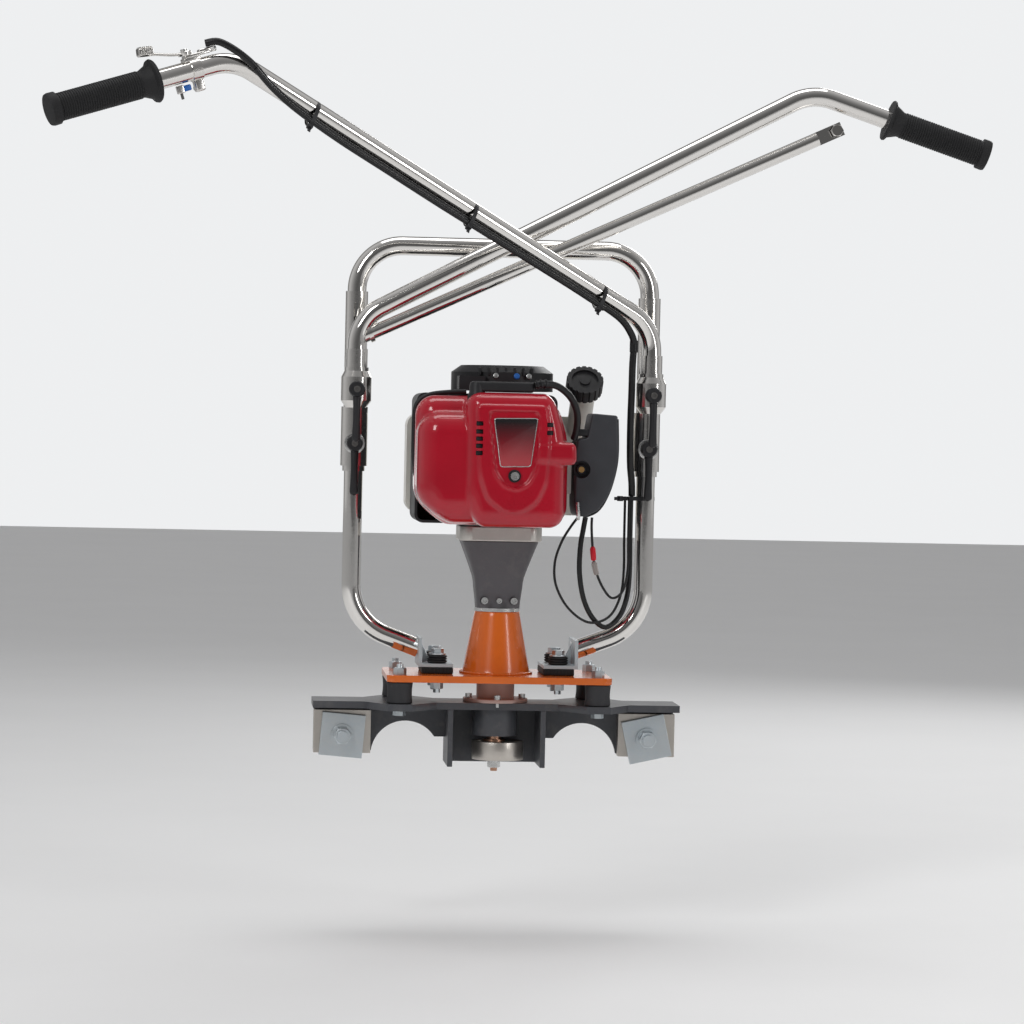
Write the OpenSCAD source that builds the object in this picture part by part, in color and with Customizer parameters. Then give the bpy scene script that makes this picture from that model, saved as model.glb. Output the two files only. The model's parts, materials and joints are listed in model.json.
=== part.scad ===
/* [Bracket] */
// Half length of the bracket's top plate
bracket_half = 212; // [205:1:240]
// Thickness of the bracket's top plate
bracket_t = 8; // [6:0.5:12]
// Distance of the plate's straight edges from the shaft line
bracket_edge = 33; // [33:1:40]
// Distance of the edge of the buffer lobes from the shaft line
lobe_reach = 68; // [66:1:80]
// Thickness of the welded walls and webs
wall_t = 6; // [4:0.5:8]
// Inner width of the channel around the rotor
channel_w = 101; // [90:1:120]
// Depth of the channel below the top plate
channel_h = 66; // [64:1:90]
// Depth of the webs at the clamps
web_h = 52; // [50:1:62]
// Height of the arches' crown below the top plate
arch_drop = 17; // [12:1:24]

/* [Beam clamps] */
// Distance of each clamp bolt from the shaft line
clamp_x = 177; // [170:1:185]
// Depth of the clamp bolts below the top plate
clamp_z = 33; // [30:1:36]
// Side of the square clamp plates
clamp_side = 50; // [36:1:56]
// Thickness of the clamp plates
clamp_t = 5; // [3:0.5:8]
// Thickness of the spacer pads
pad_t = 14; // [8:1:18]
// Diameter of the clamp bolts
clamp_bolt_d = 12; // [8:1:14]
// Turn of the left clamp plate on its bolt
clamp_turn_left = 4.5; // [0:0.5:12]
// Turn of the right clamp plate on its bolt
clamp_turn_right = 12.5; // [0:0.5:12.5]

/* [Rotor] */
// Diameter of the rotor shaft
rotor_shaft_d = 17; // [14:0.5:18]
// Outer diameter of the rotor bearings
bearing_d = 35; // [32:1:36]
// Width of the rotor bearings
bearing_w = 10; // [8:1:11]
// Diameter of the bearing housing under the plate
housing_d = 52; // [46:1:56]
// Length of the bearing housing under the plate
housing_h = 31; // [28:1:34]
// Diameter of the eccentric weight
weight_d = 60; // [50:1:60]
// Thickness of the eccentric weight
weight_t = 21; // [15:1:22]
// Offset of the eccentric weight from the shaft line
weight_offset = 4; // [2:0.5:5]
// Diameter of the threaded shaft end
stud_d = 8; // [6:1:10]

/* [Mount plate and cone] */
// Half length of the mount plate
plate_half = 129.5; // [128:0.5:140]
// Half depth of the mount plate
plate_depth = 66; // [66:1:76]
// Thickness of the mount plate
plate_t = 8; // [6:0.5:12]
// Height of the rubber buffers
buffer_h = 25; // [18:1:32]
// Diameter of the rubber buffers
buffer_d = 30; // [24:1:32]
// Distance of the buffers from the shaft line along X
buffer_x = 114; // [110:1:116]
// Distance of the buffers from the shaft line along Y
buffer_y = 50; // [46:1:51]
// Diameter of the cone at its foot
cone_foot_d = 79; // [70:1:84]
// Diameter of the cone at its top
cone_top_d = 52; // [48:1:56]
// Height of the cone
cone_h = 72; // [60:1:90]

/* [Clutch housing] */
// Width of the housing at its foot
neck_foot_w = 50; // [48:1:56]
// Width of the housing where it starts to flare
neck_mid_w = 56; // [54:1:62]
// Width of the housing at its top
neck_top_w = 89; // [84:1:94]
// Height of the housing
neck_h = 78; // [72:1:96]
// Width of the engine flange
flange_w = 95; // [94:1:104]
// Thickness of the engine flange
flange_t = 17; // [14:1:20]
// Diameter of the clutch drum
drum_d = 68; // [60:1:70]

/* [Frame tubes] */
// Outer diameter of the frame and handlebar tubes
tube_d = 22; // [18:0.5:24]
// Wall of the tubes
tube_wall = 2; // [1.5:0.5:3]
// Distance of the upright tubes from the shaft line
upright_x = 170; // [160:1:184]
// Radius of the lower bends
lower_bend_r = 62; // [50:1:70]
// Angle of the lower tubes' ends below level
lower_dip = 20.3; // [16:0.1:24]
// Top of the lower tubes inside the sleeves
lower_top = 400; // [380:1:430]
// Height of the carrying bar
loop_top = 533; // [520:1:560]
// Radius of the carrying loop's corners
loop_bend_r = 52; // [40:1:64]

/* [Columns] */
// Outer diameter of the sleeves
sleeve_d = 26; // [24:0.5:29]
// Height of the sleeves' lower end
sleeve_foot = 272; // [260:1:280]
// Height of the sleeves' upper end
sleeve_top = 479; // [470:1:484]
// Diameter of the clamp collar at each sleeve's foot
collar_d = 31; // [30:0.5:34]
// Distance of the swivel sockets in front of the sleeves
socket_y = 32; // [31:0.5:38]
// Diameter of the swivel sockets
socket_d = 35; // [32:0.5:36]
// Length of the clamping levers from pivot to tip
lever_len = 61; // [45:1:66]

/* [Handlebars] */
// Height of the elbow's corner above the top plate's underside
elbow_z = 446; // [444:1:456]
// Radius of the elbow at the socket
elbow_r = 50; // [40:1:52]
// Rise of the arms above level
arm_rise = 27.8; // [24:0.1:32]
// Level reach from the socket to the bend at the hand end
arm_reach = 520; // [430:1:620]
// Radius of the bend at the hand end
hand_bend_r = 60; // [40:1:70]
// Fall of the hand ends below level
hand_fall = 18; // [12:0.5:24]
// Length of the hand end from the bend's corner
hand_len = 218; // [210:1:240]
// Turn of the left handlebar in front of the other one
fold_turn = 20; // [16:0.5:26]
// Diameter of the brace tube
brace_d = 16; // [12:0.5:16]
// Diameter of the grips' body
grip_d = 29; // [27:0.5:32]
// Length of the grips
grip_len = 125; // [110:1:125]

/* [Engine] */
// Height of the crankcase
case_h = 112; // [108:1:116]
// Diameter of the cylinder bore
bore_d = 39; // [34:0.5:40]
// Height of the cylinder's axis above the engine flange
bore_rise = 58; // [54:1:60]
// Travel of the piston
stroke = 30; // [24:1:32]
// Diameter of the flywheel
flywheel_d = 92; // [70:1:96]
// Height of the red cover
cover_h = 155; // [150:1:160]
// Depth of the red cover
cover_depth = 104; // [100:1:106]
// Wall of the engine's covers
cover_wall = 2.5; // [2:0.5:3]
// Diameter of the fuel cap
cap_d = 43; // [36:1:46]

/* [Hidden] */
$fn = 64;

// Clearances: running fits across a joint, small gaps between neighbours, cutters' overshoot
run_gap = 0.05;
side_gap = 0.3;
over = 1;
// Hairline between a straight run and a bend, and how far the ring inside the wall reaches past it
seam = 0.01;
seam_ring = 1;

// Heights of the stack on the shaft line
flange_z = bracket_t;
pink_t = 4;
pink_d = 75;
shaft_tube_d = 44;
screw_circle_d = 62;
buffer_z = bracket_t;
plate_z = buffer_z + buffer_h;
plate_top = plate_z + plate_t;
cone_top = plate_top + cone_h;
ring_t = 4;
neck_z = cone_top + ring_t;
neck_top = neck_z + neck_h;
engine_z = neck_top + flange_t;
case_top = engine_z + case_h;
bore_z = engine_z + bore_rise;

// Beam clamps
channel_front = bracket_edge;
channel_back = 36;
web_y = 8;
pad_w = 66;
pad_h = 50;
pad_y = web_y - pad_t;
clamp_y = pad_y - side_gap - clamp_t;
washer_t = 2.5;
arch_half = 40;
arch_x = 103;
clamp_nut_h = 10;

// Rotor
weight_z = -housing_h - 7;
shaft_bottom = weight_z - weight_t;
rotor_washer_t = 3;
rotor_nut_h = 7;
stud_out = 4;
coupling_d = 40;
coupling_z = plate_top + 11;
coupling_gap = 10;
hub_h = 14;
drum_shaft_d = 15;
drum_bearing_d = 32;
drum_bearing_w = 9;
drum_z = neck_top - 12;
drum_h = 24;
drum_wall = 3;
slice_h = 4;
bearing_low_z = -housing_h + 4;
bearing_high_z = flange_z + pink_t + 6;
drum_bearing_low = neck_z + 6;
drum_bearing_high = drum_bearing_low + 26;

// Feet of the frame
foot_x = 70;
foot_bolt_y = 24;
foot_pad_w = 36;
foot_block_h = 8;
foot_plate_t = 4;
tube_end_x = 92;
tube_end_z = plate_top + 28;
lower_corner_z = tube_end_z + (upright_x - tube_end_x) * tan(lower_dip);
lower_bend = 90 - lower_dip;
lower_tangent = lower_bend_r * tan(lower_bend / 2);
lower_end_run = (upright_x - tube_end_x) / cos(lower_dip) - lower_tangent;

// Columns
tube_r = tube_d / 2;
bore_r = tube_r + run_gap;
collar_z = sleeve_foot + 6;
collar_h = 68;
leg_end = 450;
slot_w = 7;
socket_z = 349;
socket_body_h = 31;
socket_lip_z = 388;
socket_top = 412;
socket_floor = 7;
upper_pivot_z = 366;
lower_pivot_z = 304;
lever_stud_d = 6;
lever_hub_d = 16;
lever_hub_h = 12;
upper_boss_y = socket_y + socket_d / 2 + 2;
lower_boss_y = collar_d / 2 + 4;

// Handlebars
arm_bend = 90 - arm_rise;
elbow_tangent = elbow_r * tan(arm_bend / 2);
arm_len = arm_reach / cos(arm_rise);
hand_turn = arm_rise + hand_fall;
hand_tangent = hand_bend_r * tan(hand_turn / 2);
corner_z = elbow_z + arm_reach * tan(arm_rise);
grip_end_t = 5;
tube_foot = socket_z + socket_floor + side_gap;
arm_steps = [
    [elbow_z - elbow_tangent - tube_foot, elbow_r, arm_bend],
    [arm_len - elbow_tangent - hand_tangent, hand_bend_r, hand_turn],
    [hand_len - grip_end_t - hand_tangent, 0, 0]];
brace_foot = [7, elbow_z - 19.5];
brace_end_along = 24;
brace_bolt_along = 41;
brace_bolt_drop = 32;
tab_t = 4;
throttle_along = 46;

// Engine
cover_left = -105;
cover_right = 67;
cover_back = 46;
cover_front = cover_back + cover_depth;
cover_z = engine_z;
cover_top = cover_z + cover_h;
cover_screw = [4, 60];
carb_y = [-78, -48];
plug_place = [-38, 24 - cover_front];
vent_x = -39;
vent_rise = 84;
vent_pitch = 9;
shroud_back = 50;
tank_back = 96;
tank_right = 110;
journal_d = 16;
chamber_r = 27;
piston_y = 72;
piston_h = 28;
bore_end = piston_y + 22;
cylinder_y = 38;
cylinder_end = 106;
head_end = 122;
recoil_z = cover_top + 1;
recoil_h = 29;
handle_y = 59.5;
cap_place = [96, -8, 383];
cap_tilt = 48;
cap_t = 17;
air_x = 77;
air_w = 52;

// Cables: outer diameters and routes, in the part's own frame
sheath_d = 8;
thick_d = 6;
wire_d = 3;
arm_route = [[553, 2, 735], [540, 8, 737], [522, 14, 728], [502, 17, 713], [480, 15, 692],
    [450, 11, 671], [400, 8, 642], [340, 8, 610], [280, 8, 578], [220, 8, 547], [160, 8, 516],
    [110, 8, 490], [70, 9, 468], [45, 10, 452], [32, 10, 436], [27, 9, 424]];
drop_route = [[147, -49, 421], [146, -48, 400], [146, -46, 370], [146, -42, 340], [147, -34, 310],
    [149, -24, 285], [152, -16, 265], [153, -12, 250]];
thick_route = [[152, -12, 249], [152, -12, 200], [152, -14, 160], [149, -18, 132], [140, -24, 110],
    [124, -32, 98], [108, -40, 108], [96, -46, 130], [90, -50, 160], [90, -52, 190], [93, -53, 212],
    [95, -54, 225]];
thin_route = [[145, -14, 249], [145, -14, 200], [145, -16, 160], [140, -26, 132], [126, -38, 110],
    [102, -46, 104], [78, -50, 120], [63, -52, 146], [61, -52, 172], [68, -54, 196], [78, -57, 214],
    [86, -58, 225]];
link_route = [[149, -20, 249], [149, -20, 200], [149, -22, 165], [143, -28, 140], [130, -36, 132],
    [118, -44, 144], [108, -50, 166], [104, -54, 190], [102, -57, 212], [102, -58, 225]];

// The unit direction of a vector
function unit(v) = v / norm(v);

// A smooth point between route points i and i+1, where t runs from 0 to 1
function spline(p, i, t) = let (
    a = p[max(i - 1, 0)], b = p[i], c = p[i + 1], d = p[min(i + 2, len(p) - 1)])
    0.5 * ((2 * b) + (c - a) * t + (2 * a - 5 * b + 4 * c - d) * t * t
        + (3 * b - a - 3 * c + d) * t * t * t);

// The route's smooth points, a few for each stretch
function smooth(p, cuts) = [
    for (i = [0 : len(p) - 2]) for (k = [0 : cuts - 1]) spline(p, i, k / cuts),
    p[len(p) - 1]];

// Side vectors carried along the route without twist
function carried(side, along) = unit(side - (side * along) * along);
function frames(p, i = 0, side = [0.31, 0.87, 0.38]) = i >= len(p) ? [] : let (
    before = p[max(i - 1, 0)], after = p[min(i + 1, len(p) - 1)],
    along = unit(after - before), s = carried(side, along))
    concat([[p[i], s, cross(along, s)]], frames(p, i + 1, s));

// A round cord swept along a route
module cord(route, d, cuts, sides) {
    rings = frames(smooth(route, cuts));
    count = len(rings);
    points = [for (f = rings) for (k = [0 : sides - 1])
        f[0] + d / 2 * (cos(360 * k / sides) * f[1] + sin(360 * k / sides) * f[2])];
    walls = [for (i = [0 : count - 2]) for (k = [0 : sides - 1]) each let (
        n = (k + 1) % sides, a = i * sides + k, b = i * sides + n) [
            [a, a + sides, b + sides], [a, b + sides, b]]];
    first = [for (k = [0 : sides - 1]) k];
    last = [for (k = [sides - 1 : -1 : 0]) (count - 1) * sides + k];
    polyhedron(points, concat(walls, [first, last]));
}

// A pipe standing on the origin
module pipe(od, id, h) {
    difference() {
        cylinder(d = od, h = h);
        translate([0, 0, -over]) cylinder(d = id, h = h + 2 * over);
    }
}

// A ring inside the tube's wall that joins a straight run to a bend, at the place where they meet
module wall_ring(od, id) {
    wall = (od - id) / 2;
    translate([0, 0, -seam_ring]) pipe(od - wall / 2, id + wall / 2, 2 * seam_ring);
}

// A tube that starts upwards; each step is [straight length, bend radius, bend towards +X]
module bent_tube(od, id, steps, i = 0) {
    if (i < len(steps)) {
        run = steps[i][0];
        r = steps[i][1];
        a = steps[i][2];
        start = i == 0 ? 0 : seam;
        end = a > 0 ? seam : 0;
        translate([0, 0, start]) pipe(od, id, run - start - end);
        if (i > 0) wall_ring(od, id);
        if (a > 0) translate([0, 0, run]) {
            wall_ring(od, id);
            translate([r, 0, 0]) rotate([90, 0, 0]) rotate([0, 0, 180 - a])
                rotate_extrude(angle = a) translate([r, 0]) difference() {
                    circle(d = od);
                    circle(d = id);
                }
            translate([r * (1 - cos(a)), 0, r * sin(a)]) rotate([0, a, 0])
                bent_tube(od, id, steps, i + 1);
        }
    }
}

// A plate with rounded corners, centred on the origin in plan
module rounded_plate(size, r, h) {
    linear_extrude(h) for (a = [0, 1]) {
        square([size[0] - 2 * r * a, size[1] - 2 * r * (1 - a)], center = true);
        for (x = [-1, 1]) for (y = [-1, 1])
            translate([x * (size[0] / 2 - r), y * (size[1] / 2 - r)]) circle(r);
    }
}

// A block with all edges rounded, from its lowest to its highest corner
module soft_block(low, high, r) {
    hull() for (x = [low[0] + r, high[0] - r]) for (y = [low[1] + r, high[1] - r])
        for (z = [low[2] + r, high[2] - r]) translate([x, y, z]) sphere(r, $fn = 20);
}

// A hexagon nut or head standing on the origin, with a chamfered top
module hexagon(af, h) {
    intersection() {
        cylinder(d = af / cos(30), h = h, $fn = 6);
        union() {
            cylinder(d = af / cos(30) + over, h = h - af * 0.07);
            translate([0, 0, h - af * 0.07]) cylinder(d1 = af / cos(30), d2 = af * 0.95, h = af * 0.07);
        }
    }
}

module nut(af, d, h) {
    difference() {
        hexagon(af, h);
        translate([0, 0, -over]) cylinder(d = d, h = h + 2 * over);
    }
}

// A socket-head screw: the head stands on the origin and the shank hangs below
module cap_screw(d, shank) {
    difference() {
        union() {
            cylinder(d = 1.6 * d, h = d);
            translate([0, 0, -shank]) cylinder(d = d, h = shank + over);
        }
        translate([0, 0, d * 0.45]) cylinder(d = 0.95 * d, h = d, $fn = 6);
    }
}

// A ball bearing standing on the origin, with its inner ring, outer ring and balls
module bearing(od, id, w) {
    race = (od + id) / 4;
    lip = (od - id) / 2 * 0.3;
    pipe(od, od - 2 * lip, w);
    pipe(id + 2 * lip, id, w);
    ball_d = (od - id) / 2 - 2 * lip - 0.4;
    for (k = [0 : 7]) rotate([0, 0, 45 * k]) translate([race, 0, w / 2]) sphere(d = ball_d, $fn = 24);
}

// Places its children on the left and on the right of the shaft line
module both_sides() {
    children();
    mirror([1, 0, 0]) children();
}

module at_buffers() {
    for (x = [-1, 1]) for (y = [-1, 1]) translate([x * buffer_x, y * buffer_y, 0]) children();
}

module at_feet() {
    for (x = [-1, 1]) for (y = [-1, 1]) translate([x * foot_x, y * foot_bolt_y, 0]) children();
}

module at_flange_screws() {
    for (k = [0 : 3]) rotate([0, 0, 90 * k]) translate([screw_circle_d / 2, 0, 0]) children();
}

// The bracket -----------------------------------------------------------------

// Half of the top plate's front outline, from the middle to the right end
lobe_in = buffer_x - 44;
lobe_out = buffer_x + 38;
lobe_top_in = buffer_x - 14;
lobe_top_out = buffer_x + 14;
half_edge = [[0, -bracket_edge], [lobe_in, -bracket_edge], [lobe_top_in, -lobe_reach],
    [lobe_top_out, -lobe_reach], [lobe_out, -bracket_edge], [bracket_half, -bracket_edge]];

module plate_outline() {
    front = concat([for (i = [len(half_edge) - 1 : -1 : 1]) [-half_edge[i][0], half_edge[i][1]]], half_edge);
    back = [for (i = [len(front) - 1 : -1 : 0]) [front[i][0], -front[i][1]]];
    polygon(concat(front, back));
}

module bracket_plate() {
    color([0.29, 0.30, 0.32]) difference() {
        linear_extrude(bracket_t) plate_outline();
        translate([0, 0, -over]) cylinder(d = bearing_d, h = bracket_t + 2 * over);
        at_flange_screws() translate([0, 0, -over]) cylinder(d = 5, h = bracket_t + 2 * over);
        at_buffers() translate([0, 0, -over]) cylinder(d = 8.4, h = bracket_t + 2 * over);
    }
}

module bracket_channel() {
    outer = channel_w + 2 * wall_t;
    color([0.27, 0.28, 0.30]) translate([0, 0, -channel_h]) linear_extrude(channel_h) difference() {
        translate([-outer / 2, -channel_front]) square([outer, channel_front + channel_back + wall_t]);
        translate([-channel_w / 2, -channel_front - over]) square([channel_w, channel_front + channel_back + over]);
    }
}

// One web with its arch, standing in the XZ plane
module web_outline() {
    start = channel_w / 2 + wall_t;
    difference() {
        translate([start, -web_h]) square([bracket_half - start - 2, web_h]);
        translate([arch_x, -arch_drop - arch_half]) circle(arch_half);
        translate([arch_x, -arch_drop - arch_half - web_h]) square([2 * arch_half, 2 * web_h], center = true);
        translate([start - over, -web_h - over]) square([arch_x - start + over, web_h - arch_drop - 18 + over]);
    }
}

module bracket_webs() {
    color([0.28, 0.29, 0.31]) both_sides() difference() {
        translate([0, web_y + wall_t, 0]) rotate([90, 0, 0]) linear_extrude(wall_t) web_outline();
        translate([clamp_x, web_y - over, -clamp_z]) rotate([-90, 0, 0])
            cylinder(d = clamp_bolt_d, h = wall_t + 2 * over);
    }
}

module rotor_housing() {
    color([0.30, 0.31, 0.33]) difference() {
        translate([0, 0, -housing_h]) cylinder(d = housing_d, h = housing_h);
        translate([0, 0, bearing_low_z]) cylinder(d = bearing_d, h = housing_h);
        translate([0, 0, -housing_h - over]) cylinder(d = rotor_shaft_d + 6, h = housing_h);
        at_flange_screws() translate([0, 0, -housing_h]) cylinder(d = 7, h = housing_h + over);
    }
}

module bearing_flange() {
    color([0.72, 0.62, 0.58]) translate([0, 0, flange_z]) difference() {
        union() {
            cylinder(d = pink_d, h = pink_t);
            cylinder(d = shaft_tube_d, h = buffer_h + 3);
        }
        translate([0, 0, pink_t + 6]) cylinder(d = bearing_d, h = bearing_w);
        translate([0, 0, -over]) cylinder(d = rotor_shaft_d + 6, h = buffer_h + 6);
        translate([0, 0, pink_t + 5 + bearing_w]) cylinder(d = bearing_d, h = buffer_h);
        at_flange_screws() translate([0, 0, -over]) cylinder(d = 6, h = pink_t + 2 * over);
    }
}

module ball_bearings() {
    color([0.78, 0.79, 0.80]) {
        for (z = [bearing_low_z, bearing_high_z]) translate([0, 0, z])
            bearing(bearing_d, rotor_shaft_d, bearing_w);
        for (z = [drum_bearing_low, drum_bearing_high]) translate([0, 0, z])
            bearing(drum_bearing_d, drum_shaft_d, drum_bearing_w);
    }
}

module machine_screws() {
    color([0.25, 0.25, 0.27]) {
        translate([0, 0, flange_z + pink_t]) at_flange_screws() cap_screw(5, 9);
        for (x = [-17, 0, 17]) translate([x, -neck_foot_w / 2 - 1.5, neck_z + 9]) rotate([90, 0, 0])
            cap_screw(x == 0 ? 4 : 5, 4);
        translate([cover_screw[0], -cover_front, cover_z + cover_screw[1]]) rotate([90, 0, 0]) cap_screw(6, 8);
    }
}

// The beam clamps ---------------------------------------------------------------

module beam_pads() {
    color([0.75, 0.72, 0.68]) both_sides() difference() {
        translate([bracket_half - 2 - pad_w, pad_y, -web_h - 2]) cube([pad_w, pad_t, pad_h]);
        translate([clamp_x, pad_y - over, -clamp_z]) rotate([-90, 0, 0])
            cylinder(d = clamp_bolt_d, h = pad_t + 2 * over);
    }
}

module clamp_bolts() {
    color([0.70, 0.73, 0.74]) both_sides() translate([clamp_x, 0, -clamp_z]) {
        translate([0, web_y + wall_t, 0]) rotate([-90, 0, 0]) hexagon(18, 7.5);
        translate([0, web_y + wall_t, 0]) rotate([90, 0, 0])
            cylinder(d = clamp_bolt_d, h = web_y + wall_t - clamp_y + clamp_nut_h + 7);
        translate([0, clamp_y - side_gap, 0]) rotate([90, 0, 0]) difference() {
            union() {
                cylinder(d = 26, h = washer_t);
                translate([0, 0, washer_t]) hexagon(18, clamp_nut_h);
            }
            translate([0, 0, -over]) cylinder(d = clamp_bolt_d, h = 30);
        }
    }
}

module clamp_plate(side, turn) {
    color([0.66, 0.70, 0.70]) translate([side * clamp_x, clamp_y, -clamp_z]) rotate([0, turn, 0])
        difference() {
            translate([-clamp_side / 2, 0, -clamp_side / 2]) cube([clamp_side, clamp_t, clamp_side]);
            rotate([-90, 0, 0]) translate([0, 0, -over])
                cylinder(d = clamp_bolt_d + 2 * run_gap, h = clamp_t + 2 * over);
        }
}

module clamp_plate_left() { clamp_plate(-1, clamp_turn_left); }

module clamp_plate_right() { clamp_plate(1, -clamp_turn_right); }

// The rubber-mounted plate and the cone -------------------------------------------

module rubber_buffers() {
    color([0.13, 0.13, 0.14]) at_buffers() translate([0, 0, buffer_z]) difference() {
        cylinder(d = buffer_d, h = buffer_h);
        translate([0, 0, -over]) cylinder(d = 8, h = buffer_h + 2 * over);
    }
}

module plate_fasteners() {
    foot_top = plate_top + foot_block_h + foot_plate_t + 10;
    color([0.74, 0.75, 0.76]) {
        at_buffers() {
            cylinder(d = 8, h = plate_top + 12);
            translate([0, 0, plate_top]) nut(13, 8, 8);
            translate([0, 0, -6]) nut(13, 8, 6);
        }
        at_feet() {
            translate([0, 0, plate_z - 14]) cylinder(d = 8, h = foot_top + 1.5 - plate_z + 14);
            translate([0, 0, foot_top]) pipe(20, 8, 1.5);
            translate([0, 0, foot_top + 1.5]) hexagon(13, 5.5);
            translate([0, 0, plate_z - 1.5]) pipe(17, 8, 1.5);
            translate([0, 0, plate_z - 9.5]) nut(13, 8, 8);
        }
    }
}

module mount_plate() {
    color([0.88, 0.37, 0.12]) translate([0, 0, plate_z]) difference() {
        rounded_plate([2 * plate_half, 2 * plate_depth], 9, plate_t);
        translate([0, 0, -over]) cylinder(d = shaft_tube_d + 6, h = plate_t + 2 * over);
        at_buffers() translate([0, 0, -over]) cylinder(d = 8, h = plate_t + 2 * over);
        at_feet() translate([0, 0, -over]) cylinder(d = 8, h = plate_t + 2 * over);
    }
}

module drive_cone() {
    cone_wall = 4;
    color([0.90, 0.38, 0.13]) translate([0, 0, plate_top]) difference() {
        union() {
            cylinder(d1 = cone_foot_d, d2 = cone_top_d, h = cone_h);
            cylinder(d = cone_foot_d + 3, h = 2);
        }
        translate([0, 0, -0.01]) cylinder(d1 = cone_foot_d - 2 * cone_wall,
            d2 = cone_top_d - 2 * cone_wall, h = cone_h + 0.02);
    }
}

module cone_ring() {
    color([0.80, 0.81, 0.82]) translate([0, 0, cone_top]) pipe(cone_top_d + 1, cone_top_d - 12, ring_t);
}

// A level slice of the clutch housing
module neck_slice(w, z) { translate([0, 0, z]) rounded_plate([w, w * 0.9], w * 0.16, slice_h, $fn = 32); }

module clutch_housing() {
    mid_z = neck_z + 32;
    color([0.37, 0.36, 0.38]) difference() {
        union() {
            hull() {
                neck_slice(neck_foot_w, neck_z);
                neck_slice(neck_mid_w, mid_z);
            }
            hull() {
                neck_slice(neck_mid_w - 2, mid_z - 5);
                neck_slice(neck_top_w, neck_top - slice_h);
            }
        }
        translate([0, 0, neck_z - over]) cylinder(d = drum_bearing_d - 5, h = neck_h);
        translate([0, 0, drum_bearing_low]) cylinder(d = drum_bearing_d, h = drum_bearing_w);
        translate([0, 0, drum_bearing_high]) cylinder(d = drum_bearing_d, h = drum_bearing_w + 8);
        translate([0, 0, drum_z - 3]) cylinder(d = drum_d + 5, h = neck_h);
        for (x = [-17, 0, 17]) translate([x, -neck_foot_w / 2 - 1.5, neck_z + 9]) rotate([-90, 0, 0]) {
            translate([0, 0, -7]) cylinder(d = x == 0 ? 7 : 9.5, h = 7);
            translate([0, 0, -over]) cylinder(d = x == 0 ? 4 : 5, h = 5 + over);
        }
    }
}

module engine_flange() {
    color([0.76, 0.74, 0.71]) translate([0, 0, neck_top]) difference() {
        rounded_plate([flange_w, flange_w * 0.9], 14, flange_t);
        translate([0, 0, -over]) cylinder(d = drum_d + 5, h = flange_t + 2 * over);
    }
}

// The feet of the handle frame ------------------------------------------------------

module foot_plates() {
    block_top = plate_top + foot_block_h;
    upright_h = 33;
    color([0.80, 0.80, 0.80]) both_sides() {
        difference() {
            translate([foot_x - foot_pad_w / 2, -foot_bolt_y - 12, block_top])
                cube([tube_end_x - foot_x + foot_pad_w / 2, 2 * foot_bolt_y + 24, foot_plate_t]);
            at_feet() translate([0, 0, block_top - over]) cylinder(d = 8, h = foot_plate_t + 2 * over);
        }
        translate([tube_end_x - foot_plate_t, -foot_bolt_y - 12, block_top + foot_plate_t])
            cube([foot_plate_t, 2 * foot_bolt_y + 24, upright_h - foot_plate_t]);
        translate([tube_end_x - foot_plate_t, 2, block_top + foot_plate_t]) rotate([90, 0, 0])
            linear_extrude(4) polygon([[0, 0], [-12, 0], [0, 24]]);
    }
}

module foot_pads() {
    block_top = plate_top + foot_block_h;
    color([0.10, 0.10, 0.10]) {
        both_sides() translate([foot_x - foot_pad_w / 2, -foot_bolt_y - 12, plate_top]) difference() {
            cube([foot_pad_w, 2 * foot_bolt_y + 24, foot_block_h]);
            for (y = [0, 1]) translate([foot_pad_w / 2, 12 + 2 * y * foot_bolt_y, -over])
                cylinder(d = 8, h = foot_block_h + 2 * over);
        }
        at_feet() translate([0, 0, block_top + foot_plate_t]) pipe(23, 8, 10);
    }
}

// The lower tube of one side, with its axis on the upright line
module lower_tube() {
    top_run = lower_top - (lower_corner_z + lower_tangent);
    color([0.82, 0.81, 0.79]) difference() {
        translate([-upright_x, 0, lower_top]) mirror([0, 0, 1])
            bent_tube(tube_d, tube_d - 2 * tube_wall, [[top_run, lower_bend_r, lower_bend],
                [lower_end_run + 4, 0, 0]]);
        translate([-tube_end_x, -30, 0]) cube([60, 60, 200]);
    }
}

module lower_tube_left() { lower_tube(); }

module lower_tube_right() { mirror([1, 0, 0]) lower_tube(); }

// The height-adjusting upper frame ---------------------------------------------------

module carry_loop() {
    leg = loop_top - loop_bend_r - leg_end;
    half = upright_x - loop_bend_r;
    color([0.82, 0.81, 0.79]) translate([-upright_x, 0, leg_end])
        bent_tube(tube_d, tube_d - 2 * tube_wall, [[leg, loop_bend_r, 90], [2 * half, loop_bend_r, 90],
            [leg, 0, 0]]);
}

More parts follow.
